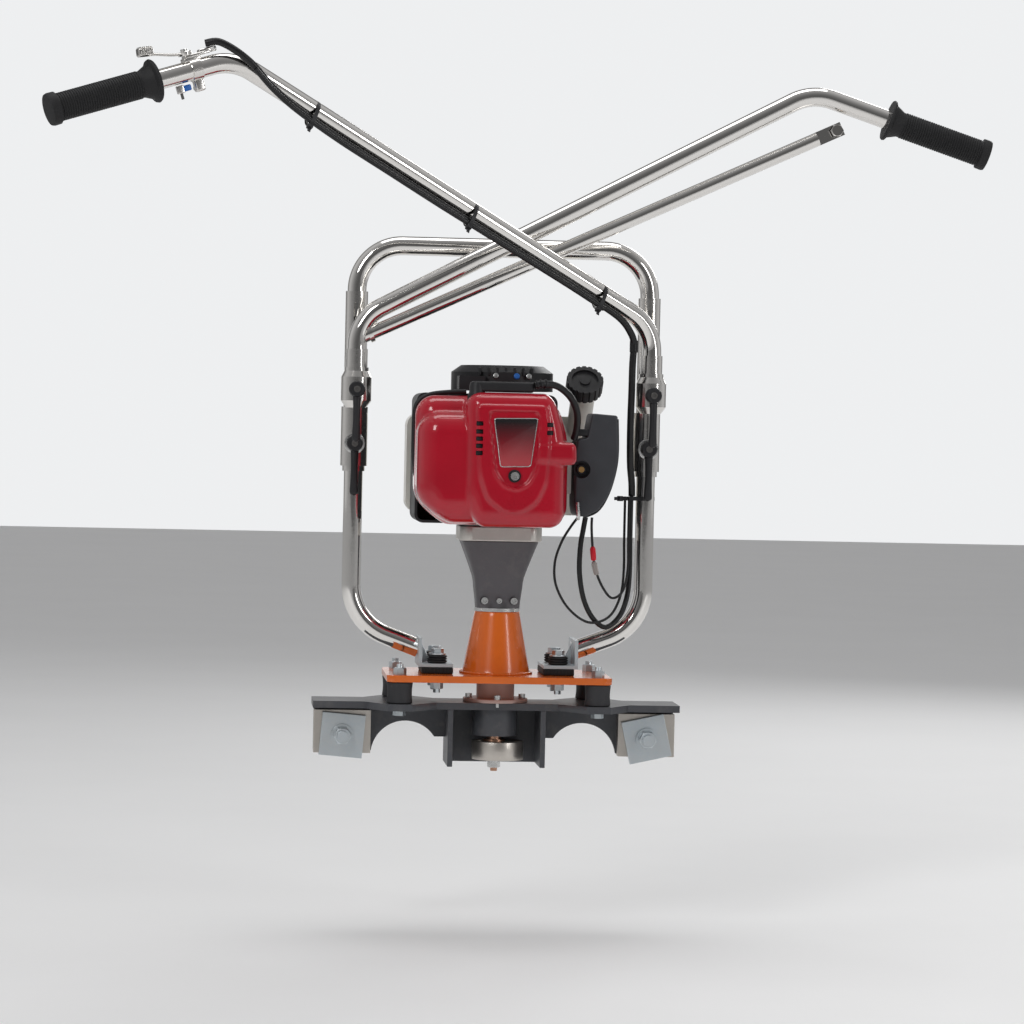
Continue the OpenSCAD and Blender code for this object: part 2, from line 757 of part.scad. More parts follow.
// One sleeve with its clamp collar and the swivel socket welded to its front
module column() {
    color([0.80, 0.79, 0.78]) difference() {
        union() {
            translate([0, 0, sleeve_foot]) cylinder(d = sleeve_d, h = sleeve_top - sleeve_foot);
            translate([0, 0, collar_z]) cylinder(d = collar_d, h = collar_h);
            translate([0, 0, lower_pivot_z]) rotate([90, 0, 0]) cylinder(d = 23, h = lower_boss_y);
            translate([-5, -socket_y, socket_z + 4]) cube([10, socket_y, socket_body_h]);
            translate([0, -socket_y, 0]) rotate_extrude() polygon([
                [0, socket_z - 4], [socket_d * 0.33, socket_z - 4], [socket_d / 2, socket_z + 4],
                [socket_d / 2, socket_z + socket_body_h], [tube_r + 3, socket_lip_z - 1],
                [tube_r + 3, socket_lip_z + 3], [tube_r + 1.5, socket_lip_z + 3],
                [tube_r + 1.5, socket_top], [0, socket_top]]);
            translate([0, -socket_y, upper_pivot_z]) rotate([90, 0, 0])
                cylinder(d = lever_hub_d, h = upper_boss_y - socket_y);
        }
        translate([0, 0, sleeve_foot - over]) cylinder(r = bore_r, h = leg_end - sleeve_foot + over);
        translate([0, 0, leg_end]) cylinder(d = tube_d, h = sleeve_top);
        translate([-slot_w / 2, -sleeve_d, socket_top + 2]) cube([slot_w, sleeve_d, leg_end - socket_top + 14]);
        translate([0, -socket_y, socket_z + socket_floor]) cylinder(r = bore_r, h = sleeve_top);
        translate([0, side_gap - upper_boss_y + 6, upper_pivot_z]) rotate([90, 0, 0])
            cylinder(d = lever_stud_d + 2 * run_gap, h = 20);
        translate([0, side_gap - lower_boss_y + 6, lower_pivot_z]) rotate([90, 0, 0])
            cylinder(d = lever_stud_d + 2 * run_gap, h = 20);
    }
}

module column_left() { translate([-upright_x, 0, 0]) column(); }

module column_right() { translate([upright_x, 0, 0]) column(); }

// A clamping lever: its hub starts at the boss face and its arm hangs down
module clamp_lever() {
    tip_d = 10;
    color([0.12, 0.12, 0.13]) {
        rotate([90, 0, 0]) difference() {
            union() {
                translate([0, 0, side_gap]) cylinder(d = lever_hub_d, h = lever_hub_h);
                translate([0, 0, -5]) cylinder(d = lever_stud_d, h = 6);
            }
            translate([0, 0, lever_hub_h - 2]) cylinder(d = 8, h = 4);
        }
        difference() {
            hull() {
                translate([0, -side_gap - 3, 0]) rotate([90, 0, 0]) cylinder(d = 12, h = 7, $fn = 32);
                translate([0, -side_gap - 6, tip_d / 2 - lever_len]) rotate([90, 0, 0])
                    cylinder(d = tip_d, h = 6, $fn = 32);
            }
            rotate([90, 0, 0]) translate([0, 0, -over]) cylinder(d = lever_hub_d, h = 30);
        }
        rotate([90, 0, 0]) translate([0, 0, lever_hub_h - 2]) cylinder(d = 7.5, h = 2.6, $fn = 32);
    }
}

module at_upper_pivot(side) { translate([side * upright_x, -upper_boss_y, upper_pivot_z]) children(); }

module at_lower_pivot(side) { translate([side * upright_x, -lower_boss_y, lower_pivot_z]) children(); }

module lever_upper_left() { at_upper_pivot(-1) clamp_lever(); }

module lever_upper_right() { at_upper_pivot(1) clamp_lever(); }

module lever_lower_left() { at_lower_pivot(-1) clamp_lever(); }

module lever_lower_right() { at_lower_pivot(1) clamp_lever(); }

// The handlebars ------------------------------------------------------------------------

// The arm's plane: X runs out along the arm, Z up, from the swivel axis
module right_arm() { translate([-upright_x, -socket_y, 0]) children(); }

module left_arm() { translate([upright_x, -socket_y, 0]) rotate([0, 0, 180 + fold_turn]) children(); }

// The hand end's own frame: X runs along the tube from the bend's corner, Z away from it
module at_hand(along, off) {
    translate([arm_reach, 0, corner_z]) rotate([0, hand_fall, 0]) translate([along, 0, off]) children();
}

module arm_tube() {
    translate([0, 0, tube_foot]) bent_tube(tube_d, tube_d - 2 * tube_wall, arm_steps);
}

module handlebar_left() { color([0.82, 0.80, 0.78]) left_arm() arm_tube(); }

module handlebar_right() {
    tab_w = 24;
    color([0.82, 0.80, 0.78]) right_arm() {
        arm_tube();
        at_hand(brace_bolt_along, 0) difference() {
            translate([-tab_w / 2, -tab_t / 2, -brace_bolt_drop - 10]) cube([tab_w, tab_t, brace_bolt_drop]);
            translate([0, 0, -brace_bolt_drop]) rotate([90, 0, 0]) cylinder(d = 8, h = 20, center = true);
            rotate([0, 90, 0]) cylinder(d = tube_d - tube_wall, h = 60, center = true);
        }
    }
}

// The brace from the elbow's inside to the tab under the hand end
module brace_tube() {
    bolt = [arm_reach + brace_bolt_along * cos(hand_fall) - brace_bolt_drop * sin(hand_fall),
        corner_z - brace_bolt_along * sin(hand_fall) - brace_bolt_drop * cos(hand_fall)];
    rise = atan2(bolt[1] - brace_foot[1], bolt[0] - brace_foot[0]);
    span = norm(bolt - brace_foot);
    color([0.81, 0.80, 0.78]) right_arm() {
        difference() {
            translate([brace_foot[0], 0, brace_foot[1]]) rotate([0, 90 - rise, 0]) union() {
                difference() {
                    cylinder(d = brace_d, h = span - brace_end_along);
                    translate([0, 0, -over]) cylinder(d = brace_d - 3, h = span - brace_end_along - 8);
                }
                translate([0, 0, 6]) cylinder(d = brace_d + 5, h = 5);
                translate([-brace_d / 2, tab_t / 2, span - brace_end_along - 8])
                    cube([brace_d, 3, brace_end_along + 16]);
            }
            translate([elbow_r, 0, elbow_z - elbow_tangent]) rotate([90, 0, 0]) rotate([0, 0, 180 - arm_bend])
                rotate_extrude(angle = arm_bend) translate([elbow_r, 0]) circle(d = tube_d + 0.1);
            translate([0, 0, elbow_z - elbow_tangent - 60]) cylinder(d = tube_d + 0.1, h = 60);
            translate([bolt[0], 0, bolt[1]]) rotate([-90, 0, 0]) cylinder(d = 8, h = 20);
        }
        translate([bolt[0], 0, bolt[1]]) {
            translate([0, tab_t / 2 + 3, 0]) rotate([-90, 0, 0]) nut(13, 8, 6.5);
            translate([0, -tab_t / 2, 0]) rotate([90, 0, 0]) hexagon(13, 5.5);
            translate([0, -tab_t / 2, 0]) rotate([-90, 0, 0]) cylinder(d = 8, h = tab_t + 14);
        }
    }
}

// A grip sleeve pushed over the hand end, with a thick collar on its inner side
module grip() {
    ribs = 9;
    at_hand(hand_len - grip_len, 0) rotate([0, 90, 0]) difference() {
        union() {
            cylinder(d = grip_d, h = grip_len);
            cylinder(d = grip_d + 20, h = 4);
            translate([0, 0, 4]) cylinder(d1 = grip_d + 9, d2 = grip_d, h = 9);
            translate([0, 0, grip_len - 9]) cylinder(d = grip_d + 7, h = 9);
            for (k = [1 : ribs]) translate([0, 0, 10 + k * (grip_len - 25) / ribs])
                cylinder(d = grip_d + 1.4, h = 3);
        }
        translate([0, 0, -over]) cylinder(d = tube_d, h = grip_len - grip_end_t + over);
    }
}

module grip_left() { color([0.10, 0.10, 0.11]) left_arm() grip(); }

module grip_right() { color([0.10, 0.10, 0.11]) right_arm() grip(); }

// The throttle's band clamp and housing on the left hand end
module throttle_clamp() {
    color([0.72, 0.72, 0.71]) left_arm() at_hand(throttle_along, 0) difference() {
        union() {
            translate([-7, 0, 0]) rotate([0, 90, 0]) cylinder(d = tube_d + 6, h = 14);
            translate([-12, -8, tube_r - 2]) cube([32, 16, 8]);
            translate([-24, -6, tube_r + 3]) cube([16, 12, 6]);
            translate([-5, -5, -tube_r - 14]) cube([10, 10, 14]);
            translate([4, -4, -tube_r - 12]) cube([22, 8, 10]);
            translate([22, 0, -tube_r - 7]) rotate([90, 0, 0]) cylinder(d = 8, h = 12, center = true);
        }
        rotate([0, 90, 0]) cylinder(d = tube_d, h = 90, center = true);
        translate([6, 0, tube_r]) cylinder(d = 5 + 2 * run_gap, h = 30);
    }
}

// The thumb lever that turns on top of the throttle housing
module throttle_lever() {
    color([0.70, 0.70, 0.69]) left_arm() at_hand(throttle_along, tube_r + 6 + side_gap) {
        translate([6, 0, 0]) cylinder(d = 15, h = 4);
        translate([6, 0, -4]) cylinder(d = 5, h = 5);
        translate([6, 0, 4]) cylinder(d = 8, h = 3);
        hull() {
            translate([12, -4, 0]) cube([2, 8, 4]);
            translate([38, -4, 8]) cube([2, 8, 3]);
        }
        hull() {
            translate([38, -5, 7]) cube([2, 10, 5]);
            translate([56, -7, 8]) cube([3, 14, 12]);
        }
    }
}

// The engine ------------------------------------------------------------------------------

module crankcase() {
    color([0.70, 0.70, 0.70]) difference() {
        union() {
            soft_block([-42, -cylinder_y, engine_z + 10], [42, 36, case_top], 6);
            translate([0, 0, engine_z]) cylinder(d = flange_w * 0.84, h = 14);
        }
        translate([0, 0, engine_z - over]) cylinder(d = 60, h = 8 + over);
        translate([0, 0, bore_z - 26]) cylinder(r = chamber_r, h = 52);
        translate([0, 0, engine_z]) cylinder(d = journal_d + 2 * run_gap, h = case_h + over);
        translate([0, 0, bore_z]) rotate([90, 0, 0]) cylinder(d = bore_d + 2 * run_gap, h = cylinder_y + over);
    }
}

module cylinder_block() {
    fins = 7;
    color([0.66, 0.66, 0.66]) translate([0, 0, bore_z]) rotate([90, 0, 0]) difference() {
        union() {
            translate([0, 0, cylinder_y]) cylinder(d = bore_d + 10, h = cylinder_end - cylinder_y);
            for (k = [0 : fins - 1]) translate([0, 0, cylinder_y + 8 + k * 8]) rounded_plate([74, 72], 8, 2.5);
            translate([0, 0, cylinder_end]) rounded_plate([70, 72], 10, head_end - cylinder_end);
        }
        translate([0, 0, cylinder_y - over]) cylinder(d = bore_d + 2 * run_gap, h = bore_end - cylinder_y + over);
    }
}

// The outer or inner form of the red cover, shrunk by a wall
module cover_form(w) {
    low = cover_z + w;
    high = cover_top - w;
    hull() {
        for (x = [cover_left + 24, cover_right - 18]) for (z = [low + 22, high - 22])
            translate([x, -cover_back - 24, z]) sphere(22 - w, $fn = 28);
        for (x = [cover_left + 40, cover_right - 24]) for (z = [low + 18, high - 20])
            translate([x, 18 - cover_front, z]) sphere(18 - w, $fn = 28);
        for (x = [cover_left + 14 + w, cover_right - 14 - w]) for (z = [low + 14, high - 14])
            translate([x, w - cover_back, z]) rotate([90, 0, 0]) cylinder(r = 14, h = 4 + w, $fn = 24);
    }
}

module engine_cover() {
    color([0.68, 0.03, 0.10]) difference() {
        union() {
            cover_form(0);
            soft_block([40, 10 - cover_front, bore_z + 14], [cover_right + 8, -cover_back - 40, bore_z + 41], 6);
        }
        cover_form(cover_wall);
        translate([cover_right - 20, carb_y[0] - 3, bore_z - 21]) cube([40, carb_y[1] - carb_y[0] + 6, 42]);
        for (k = [0 : 4]) translate([vent_x, -cover_front - over, cover_z + vent_rise + vent_pitch * k]) cube([8, 60, 6]);
        translate([cover_screw[0], 1 - cover_front + over, cover_z + cover_screw[1]]) rotate([90, 0, 0])
            cylinder(d = 6.2, h = 20, center = true);
        translate([plug_place[0], plug_place[1], cover_top - 8]) cylinder(d = 26, h = 20);
    }
}

// A box standing in elevation, from its lowest to its highest corner, with its four long edges rounded
module upright_form(low, high, r) {
    size = high - low;
    translate([low[0] + size[0] / 2, high[1], low[2] + size[2] / 2]) rotate([90, 0, 0])
        rounded_plate([size[0], size[2]], r, size[1]);
}

// The casing behind the red cover, open towards it
module engine_shroud() {
    wall = 3;
    low = [cover_left + 4, side_gap - cover_back, engine_z + 3];
    high = [cover_right - 6, shroud_back, cover_top - 3];
    color([0.10, 0.10, 0.11]) difference() {
        upright_form(low, high, 10);
        upright_form(low + [wall, -over, wall], high - [wall, wall, wall], 7);
        translate([0, 0, engine_z]) cylinder(d = flange_w * 0.84 + 2, h = 20);
        translate([0, 0, cover_top - 10]) cylinder(d = 60, h = 20);
    }
}

// The tank behind the casing, with a straight neck on the cap's axis
module fuel_tank() {
    wall = 3;
    rim_h = 6;
    neck_len = 95;
    low = [cover_left - 1, shroud_back + 1, engine_z + 12];
    high = [tank_right, tank_back, engine_z + 128];
    color([0.90, 0.89, 0.85]) difference() {
        union() {
            upright_form(low, high, 14);
            at_cap(-neck_len) cylinder(d = 28, h = neck_len - cap_t);
            at_cap(-cap_t - rim_h) cylinder(d = 32, h = rim_h);
        }
        upright_form(low + [wall, wall, wall], high - [wall, wall, wall], 11);
        at_cap(-neck_len) cylinder(d = 20, h = neck_len + over);
    }
}

// The cap's axis, measured from the cap's outer face
module at_cap(along) { translate(cap_place) rotate([cap_tilt, 0, 0]) translate([0, 0, along]) children(); }

// The cap turns on the neck's axis
module fuel_cap() {
    knurls = 18;
    color([0.09, 0.09, 0.09]) at_cap(side_gap - cap_t) {
        difference() {
            cylinder(d = cap_d, h = cap_t);
            translate([0, 0, cap_t - 3]) cylinder(d = cap_d - 12, h = 4);
            for (k = [0 : knurls - 1]) rotate([0, 0, 360 * k / knurls])
                translate([cap_d / 2, 0, -over]) cylinder(d = 3, h = cap_t + 2 * over);
        }
        translate([0, 0, cap_t - 3]) cylinder(d = 12, h = 2);
    }
}

module air_cleaner() {
    front = -96;
    back = -34;
    low_z = engine_z + 14;
    high_z = engine_z + 130;
    color([0.22, 0.22, 0.24]) difference() {
        hull() {
            soft_block([air_x + 8, front + 10, low_z], [air_x + air_w - 14, back, high_z - 16], 8);
            soft_block([air_x, front, low_z + 22], [air_x + air_w, back, high_z], 8);
        }
        hull() {
            soft_block([air_x + 11, front + 13, low_z + 3], [air_x + air_w - 17, back - 3, high_z - 19], 6);
            soft_block([air_x + 3, front + 3, low_z + 25], [air_x + air_w - 3, back - 3, high_z - 3], 6);
        }
        translate([air_x - over, front - over, high_z - 30]) cube([24, 45, 40]);
        translate([air_x + 10, front - over, low_z + 46]) rotate([-90, 0, 0]) cylinder(d = 20, h = 14);
    }
}

module carburettor() {
    color([0.72, 0.71, 0.68]) {
        difference() {
            translate([43, carb_y[0], bore_z - 18]) cube([32, carb_y[1] - carb_y[0], 36]);
            translate([40, -63, bore_z]) rotate([0, 90, 0]) cylinder(d = 16, h = 40);
        }
        translate([52, carb_y[0], bore_z + 4]) rotate([90, 0, 0]) cylinder(d = 10, h = 6);
    }
}

module muffler() {
    color([0.45, 0.44, 0.43]) difference() {
        soft_block([cover_left + 20, -106, engine_z + 26], [-42, -54, engine_z + 104], 6);
        translate([cover_left + 25, -101, engine_z + 31]) cube([33, 42, 68]);
        translate([cover_left + 34, -112, engine_z + 44]) rotate([-90, 0, 0]) cylinder(d = 14, h = 12);
    }
}

module recoil_housing() {
    slots = 10;
    color([0.12, 0.12, 0.13]) translate([0, 0, recoil_z]) {
        difference() {
            union() {
                cylinder(d = 118, h = recoil_h - 8);
                translate([0, 0, recoil_h - 8]) cylinder(d1 = 118, d2 = 96, h = 8);
            }
            translate([0, 0, -over]) cylinder(d = 110, h = recoil_h - 10 + over);
            for (k = [0 : slots - 1]) rotate([0, 0, 360 * k / slots]) translate([20, -3, 0]) cube([22, 6, 60]);
        }
        difference() {
            union() {
                translate([-54, -62, 0]) cube([30, 40, 16]);
                translate([-48, 20, 4]) cube([34, handle_y - 20, recoil_h - 12]);
            }
            translate([0, 0, -over]) cylinder(d = 113, h = recoil_h);
            translate([-31, 48, 16]) rotate([-90, 0, 0]) cylinder(d = 5, h = 20);
        }
    }
}

// The pull handle seated on the recoil housing's rear
module starter_handle() {
    color([0.08, 0.08, 0.09]) translate([-31, handle_y + side_gap, recoil_z + 16]) rotate([-90, 0, 0]) {
        hull() {
            translate([-16, 0, 0]) cylinder(d = 13, h = 9, $fn = 32);
            translate([16, 0, 0]) cylinder(d = 13, h = 9, $fn = 32);
        }
        cylinder(d = 15, h = 16);
    }
}

module spark_plug() {
    plug = [plug_place[0], plug_place[1], bore_z];
    color([0.10, 0.10, 0.10]) {
        translate(plug + [0, 0, 40]) cylinder(d = 11, h = 45);
        translate(plug + [0, 0, 84]) cylinder(d = 18, h = cover_top + 12 - bore_z - 84);
        translate([plug[0], plug[1] - 9, cover_top + 2]) cube([66, 16, 10]);
        cord(lead_route, 8, 2, 8);
    }
    color([0.85, 0.85, 0.83]) translate(plug + [0, 0, 36]) cylinder(d = 16, h = 4);
}

// Rotating parts ------------------------------------------------------------------------------

module eccentric_shaft() {
    d = rotor_shaft_d - 2 * run_gap;
    color([0.72, 0.68, 0.62]) {
        translate([0, 0, weight_z + 2]) cylinder(d = d, h = coupling_z + hub_h - weight_z - 2);
        translate([0, 0, shaft_bottom]) cylinder(d = d - 2, h = weight_t + 2);
        translate([0, 0, weight_z]) cylinder(d = d + 8, h = 2);
        translate([0, 0, shaft_bottom - rotor_washer_t - rotor_nut_h - stud_out])
            cylinder(d = stud_d, h = rotor_washer_t + rotor_nut_h + stud_out);
    }
}

module eccentric_weight() {
    color([0.78, 0.75, 0.70]) translate([0, 0, shaft_bottom]) difference() {
        translate([weight_offset, 0, 0]) cylinder(d = weight_d, h = weight_t);
        translate([0, 0, -over]) cylinder(d = rotor_shaft_d - 2 * run_gap - 2, h = weight_t + 2 * over);
        translate([-weight_d * 0.3, 0, weight_t / 2]) cylinder(d = 9, h = weight_t);
    }
}

module rotor_nut() {
    color([0.72, 0.72, 0.70]) translate([0, 0, shaft_bottom]) {
        translate([0, 0, -rotor_washer_t]) pipe(stud_d + 9, stud_d, rotor_washer_t);
        translate([0, 0, -rotor_washer_t]) mirror([0, 0, 1]) nut(stud_d + 5, stud_d, rotor_nut_h);
    }
}

// Two jawed hubs with a rubber star between them
module shaft_coupling() {
    star_z = coupling_z + hub_h;
    upper_z = star_z + coupling_gap;
    color([0.62, 0.62, 0.60]) {
        translate([0, 0, coupling_z]) pipe(coupling_d, rotor_shaft_d - 2 * run_gap, hub_h);
        translate([0, 0, upper_z]) pipe(coupling_d, drum_shaft_d - 2 * run_gap, hub_h);
        for (k = [0 : 2]) rotate([0, 0, 120 * k]) {
            translate([9, -3, star_z]) cube([8, 6, coupling_gap - 1]);
            rotate([0, 0, 60]) translate([9, -3, star_z + 1]) cube([8, 6, coupling_gap - 1]);
        }
    }
    color([0.80, 0.45, 0.10]) translate([0, 0, star_z + 1]) for (k = [0 : 5]) rotate([0, 0, 30 + 60 * k])
        translate([7, -3, 0]) cube([9, 6, coupling_gap - 2]);
}

module clutch_drum() {
    shaft_foot = coupling_z + hub_h + coupling_gap;
    color([0.60, 0.60, 0.60]) {
        translate([0, 0, shaft_foot]) cylinder(d = drum_shaft_d - 2 * run_gap, h = drum_z - shaft_foot);
        translate([0, 0, drum_z]) difference() {
            cylinder(d = drum_d, h = drum_h);
            translate([0, 0, drum_wall]) cylinder(d = drum_d - 2 * drum_wall, h = drum_h);
        }
    }
}

module crankshaft() {
    d = journal_d;
    pin_r = stroke / 2;
    color([0.68, 0.68, 0.70]) {
        translate([0, 0, drum_z + drum_wall + 2]) cylinder(d = d, h = bore_z - 22 - drum_z - drum_wall - 2);
        translate([0, 0, bore_z + 22]) cylinder(d = d, h = recoil_z - 4 - bore_z - 22);
        for (z = [-22, 14]) translate([0, 0, bore_z + z]) cylinder(r = chamber_r - 3, h = 8);
        translate([0, pin_r, bore_z - 14]) cylinder(d = 9, h = 28);
    }
}

module flywheel() {
    vanes = 12;
    z = case_top + 3;
    color([0.58, 0.58, 0.60]) translate([0, 0, z]) difference() {
        union() {
            cylinder(d = flywheel_d, h = 10);
            for (k = [0 : vanes - 1]) rotate([0, 0, 360 * k / vanes])
                translate([flywheel_d * 0.26, -1.5, 9]) cube([flywheel_d * 0.2, 3, 9]);
            cylinder(d = 26, h = 16);
        }
        translate([0, 0, -over]) cylinder(d = journal_d, h = 30);
    }
}

// Two centrifugal shoes and their springs on a carrier
module clutch_shoes() {
    r = drum_d / 2 - drum_wall - 1.2;
    z = drum_z + drum_wall + 3;
    h = 14;
    color([0.40, 0.36, 0.32]) translate([0, 0, z]) {
        for (a = [0, 180]) rotate([0, 0, a]) difference() {
            intersection() {
                pipe(2 * r, 2 * r - 20, h);
                translate([1.5, -r, 0]) cube([r, 2 * r, h]);
            }
            for (y = [-1, 1]) translate([-over, y * (r - 5), h / 2]) rotate([0, 90, 0]) cylinder(d = 5, h = 6);
        }
        for (y = [-1, 1]) translate([-5.5, y * (r - 5), h / 2]) rotate([0, 90, 0]) cylinder(d = 3.5, h = 11);
        difference() {
            union() {
                cylinder(d = journal_d + 8, h = h);
                translate([-r + 9, -4, 2]) cube([2 * r - 18, 8, h - 4]);
            }
            translate([0, 0, -over]) cylinder(d = journal_d, h = h + 2 * over);
        }
    }
}

// The piston with its pin and the upper part of its rod, in the middle of its stroke
module piston() {
    pin_y = piston_y - 10;
    rod_end = chamber_r + stroke / 2 + 2;
    color([0.74, 0.74, 0.75]) translate([0, 0, bore_z]) rotate([90, 0, 0]) {
        difference() {
            translate([0, 0, piston_y - piston_h + 6]) cylinder(d = bore_d, h = piston_h);
            translate([0, 0, piston_y - piston_h + 5]) cylinder(d = bore_d - 8, h = piston_h - 6);
            for (k = [0, 1, 2]) translate([0, 0, piston_y + 3 - 3.4 * k - 1]) difference() {
                cylinder(d = bore_d + 2, h = 1.4);
                translate([0, 0, -over]) cylinder(d = bore_d - 3, h = 4);
            }
        }
        translate([0, 0, pin_y]) rotate([0, 90, 0]) cylinder(d = 9, h = bore_d - 8.2, center = true);
        translate([-5, -3, rod_end]) cube([10, 6, pin_y - rod_end]);
    }
}

// Cables that the machine holds all the way ---------------------------------------------------

lead_route = [[26, 18 - cover_front, cover_top + 7], [37, 20 - cover_front, cover_top + 9],
    [54, 28 - cover_front, cover_top + 6], [69, 36 - cover_front, cover_top - 6],
    [77, 44 - cover_front, cover_top - 22], [78, 52 - cover_front, cover_top - 40],
    [76, 60 - cover_front, cover_top - 52]];

// The throttle cable along the left arm
module arm_cable() {
    color([0.06, 0.06, 0.06]) left_arm() cord(arm_route, sheath_d, 3, 10);
}

module drop_cable() { color([0.06, 0.06, 0.06]) cord(drop_route, sheath_d, 3, 10); }

module engine_cables() {
    color([0.07, 0.07, 0.07]) {
        cord(thick_route, thick_d, 3, 10);
        cord(thin_route, wire_d, 2, 8);
        cord(link_route, wire_d, 2, 8);
    }
}

bracket_plate();
bracket_channel();
bracket_webs();
rotor_housing();
bearing_flange();
ball_bearings();
machine_screws();
beam_pads();
clamp_bolts();
clamp_plate_left();
clamp_plate_right();
rubber_buffers();
plate_fasteners();
mount_plate();
drive_cone();
cone_ring();
clutch_housing();
engine_flange();
foot_plates();
foot_pads();
lower_tube_left();
lower_tube_right();
crankcase();
cylinder_block();
engine_cover();
engine_shroud();
fuel_tank();
fuel_cap();
air_cleaner();
carburettor();
muffler();
recoil_housing();
starter_handle();
spark_plug();
eccentric_shaft();
eccentric_weight();
rotor_nut();
shaft_coupling();
clutch_drum();
crankshaft();
flywheel();
clutch_shoes();
piston();
carry_loop();
column_left();
column_right();
handlebar_left();
handlebar_right();
grip_left();
grip_right();
brace_tube();
throttle_clamp();
throttle_lever();
lever_upper_left();
lever_upper_right();
lever_lower_left();
lever_lower_right();
arm_cable();
drop_cable();
engine_cables();
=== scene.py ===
import json
import math
import random

import bmesh
import bpy
from mathutils import Matrix, Vector


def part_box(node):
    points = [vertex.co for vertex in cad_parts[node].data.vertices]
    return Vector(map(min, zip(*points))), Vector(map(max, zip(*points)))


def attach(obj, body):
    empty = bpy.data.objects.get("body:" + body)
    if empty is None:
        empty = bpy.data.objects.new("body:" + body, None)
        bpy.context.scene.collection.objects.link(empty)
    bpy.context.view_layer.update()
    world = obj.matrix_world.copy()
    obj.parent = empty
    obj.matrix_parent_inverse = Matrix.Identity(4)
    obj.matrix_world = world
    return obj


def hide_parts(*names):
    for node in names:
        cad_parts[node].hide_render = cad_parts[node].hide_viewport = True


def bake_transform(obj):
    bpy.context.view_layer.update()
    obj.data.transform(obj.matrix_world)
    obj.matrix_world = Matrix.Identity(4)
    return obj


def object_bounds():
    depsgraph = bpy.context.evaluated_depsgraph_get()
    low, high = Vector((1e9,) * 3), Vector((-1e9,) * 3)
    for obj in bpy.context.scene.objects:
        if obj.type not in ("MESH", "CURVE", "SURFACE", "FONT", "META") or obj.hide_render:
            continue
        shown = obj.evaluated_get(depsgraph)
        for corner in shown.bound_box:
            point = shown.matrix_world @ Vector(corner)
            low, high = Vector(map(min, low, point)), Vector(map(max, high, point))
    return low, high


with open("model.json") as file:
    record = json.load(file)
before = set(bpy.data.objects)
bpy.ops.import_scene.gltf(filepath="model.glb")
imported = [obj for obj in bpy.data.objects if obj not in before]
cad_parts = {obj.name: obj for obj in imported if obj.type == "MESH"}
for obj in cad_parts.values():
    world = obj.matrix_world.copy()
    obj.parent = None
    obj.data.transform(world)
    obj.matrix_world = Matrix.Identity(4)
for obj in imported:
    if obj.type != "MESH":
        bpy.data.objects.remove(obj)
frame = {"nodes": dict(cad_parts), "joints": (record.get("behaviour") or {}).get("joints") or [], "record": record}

random.seed(7)
nodes = frame["nodes"]
joints = {j["name"]: j for j in frame["joints"]}
cadLow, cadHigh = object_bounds()


# Shader building

class Socket:
    # wraps a node's output, so that shader sums read as plain arithmetic
    def __init__(self, look, source):
        self.look = look
        self.source = source

    def maths(self, operation, first, second):
        return self.look.add("ShaderNodeMath", {"operation": operation}, {0: first, 1: second})

    def __add__(self, other):
        return self.maths("ADD", self, other)

    def __radd__(self, other):
        return self.maths("ADD", other, self)

    def __sub__(self, other):
        return self.maths("SUBTRACT", self, other)

    def __rsub__(self, other):
        return self.maths("SUBTRACT", other, self)

    def __mul__(self, other):
        return self.maths("MULTIPLY", self, other)

    def __rmul__(self, other):
        return self.maths("MULTIPLY", other, self)

    def __truediv__(self, other):
        return self.maths("DIVIDE", self, other)


class Look:
    def __init__(self, name, **constants):
        self.material = bpy.data.materials.new(name)
        self.material.use_nodes = True
        self.tree = self.material.node_tree
        self.shader = self.tree.nodes["Principled BSDF"]
        for socket, value in constants.items():
            self.set(self.shader, socket.replace("_", " "), value)

    def set(self, node, key, value):
        if isinstance(key, int):
            socket = node.inputs[key]
        else:
            named = [s for s in node.inputs if s.identifier == key or s.name == key]
            socket = next((s for s in named if s.enabled), named[0])
        if isinstance(value, Socket):
            self.tree.links.new(value.source, socket)
        elif hasattr(value, "__len__") and len(value) == 3 and len(socket.default_value) == 4:
            socket.default_value = (*value, 1.0)
        else:
            socket.default_value = value

    def add(self, kind, settings=None, values=None, output=0):
        node = self.tree.nodes.new(kind)
        for name, value in (settings or {}).items():
            if name == "stops":
                self.setStops(node.color_ramp, value)
            else:
                setattr(node, name, value)
        for key, value in (values or {}).items():
            self.set(node, key, value)
        return Socket(self, node.outputs[output])

    def setStops(self, ramp, stops):
        while len(ramp.elements) < len(stops):
            ramp.elements.new(0.5)
        for element, (place, colour) in zip(ramp.elements, stops):
            element.position = place
            element.color = (*colour, 1.0) if len(colour) == 3 else colour

    def place(self, stretch=(1, 1, 1)):
        point = self.add("ShaderNodeTexCoord", output=3)
        return self.add("ShaderNodeMapping", values={"Vector": point, "Scale": stretch})

    def noise(self, scale, detail=3.0, stretch=(1, 1, 1), roughness=0.55):
        return self.add("ShaderNodeTexNoise", values={
            "Vector": self.place(stretch), "Scale": scale, "Detail": detail, "Roughness": roughness})

    def cells(self, scale):
        return self.add("ShaderNodeTexVoronoi", values={"Vector": self.place(), "Scale": scale})

    def ramp(self, amount, low, high):
        stops = [(low, (0, 0, 0)), (high, (1, 1, 1))]
        return self.add("ShaderNodeValToRGB", {"stops": stops}, {"Fac": amount})

    def mix(self, amount, first, second):
        return self.add("ShaderNodeMix", {"data_type": "RGBA"}, {
            "Factor_Float": amount, "A_Color": first, "B_Color": second}, output=2)

    def colour(self, value):
        self.set(self.shader, "Base Color", value)

    def rough(self, value):
        self.set(self.shader, "Roughness", value)

    def bump(self, height, strength, distance):
        normal = self.add("ShaderNodeBump", values={
            "Height": height, "Strength": strength, "Distance": distance})
        self.set(self.shader, "Normal", normal)


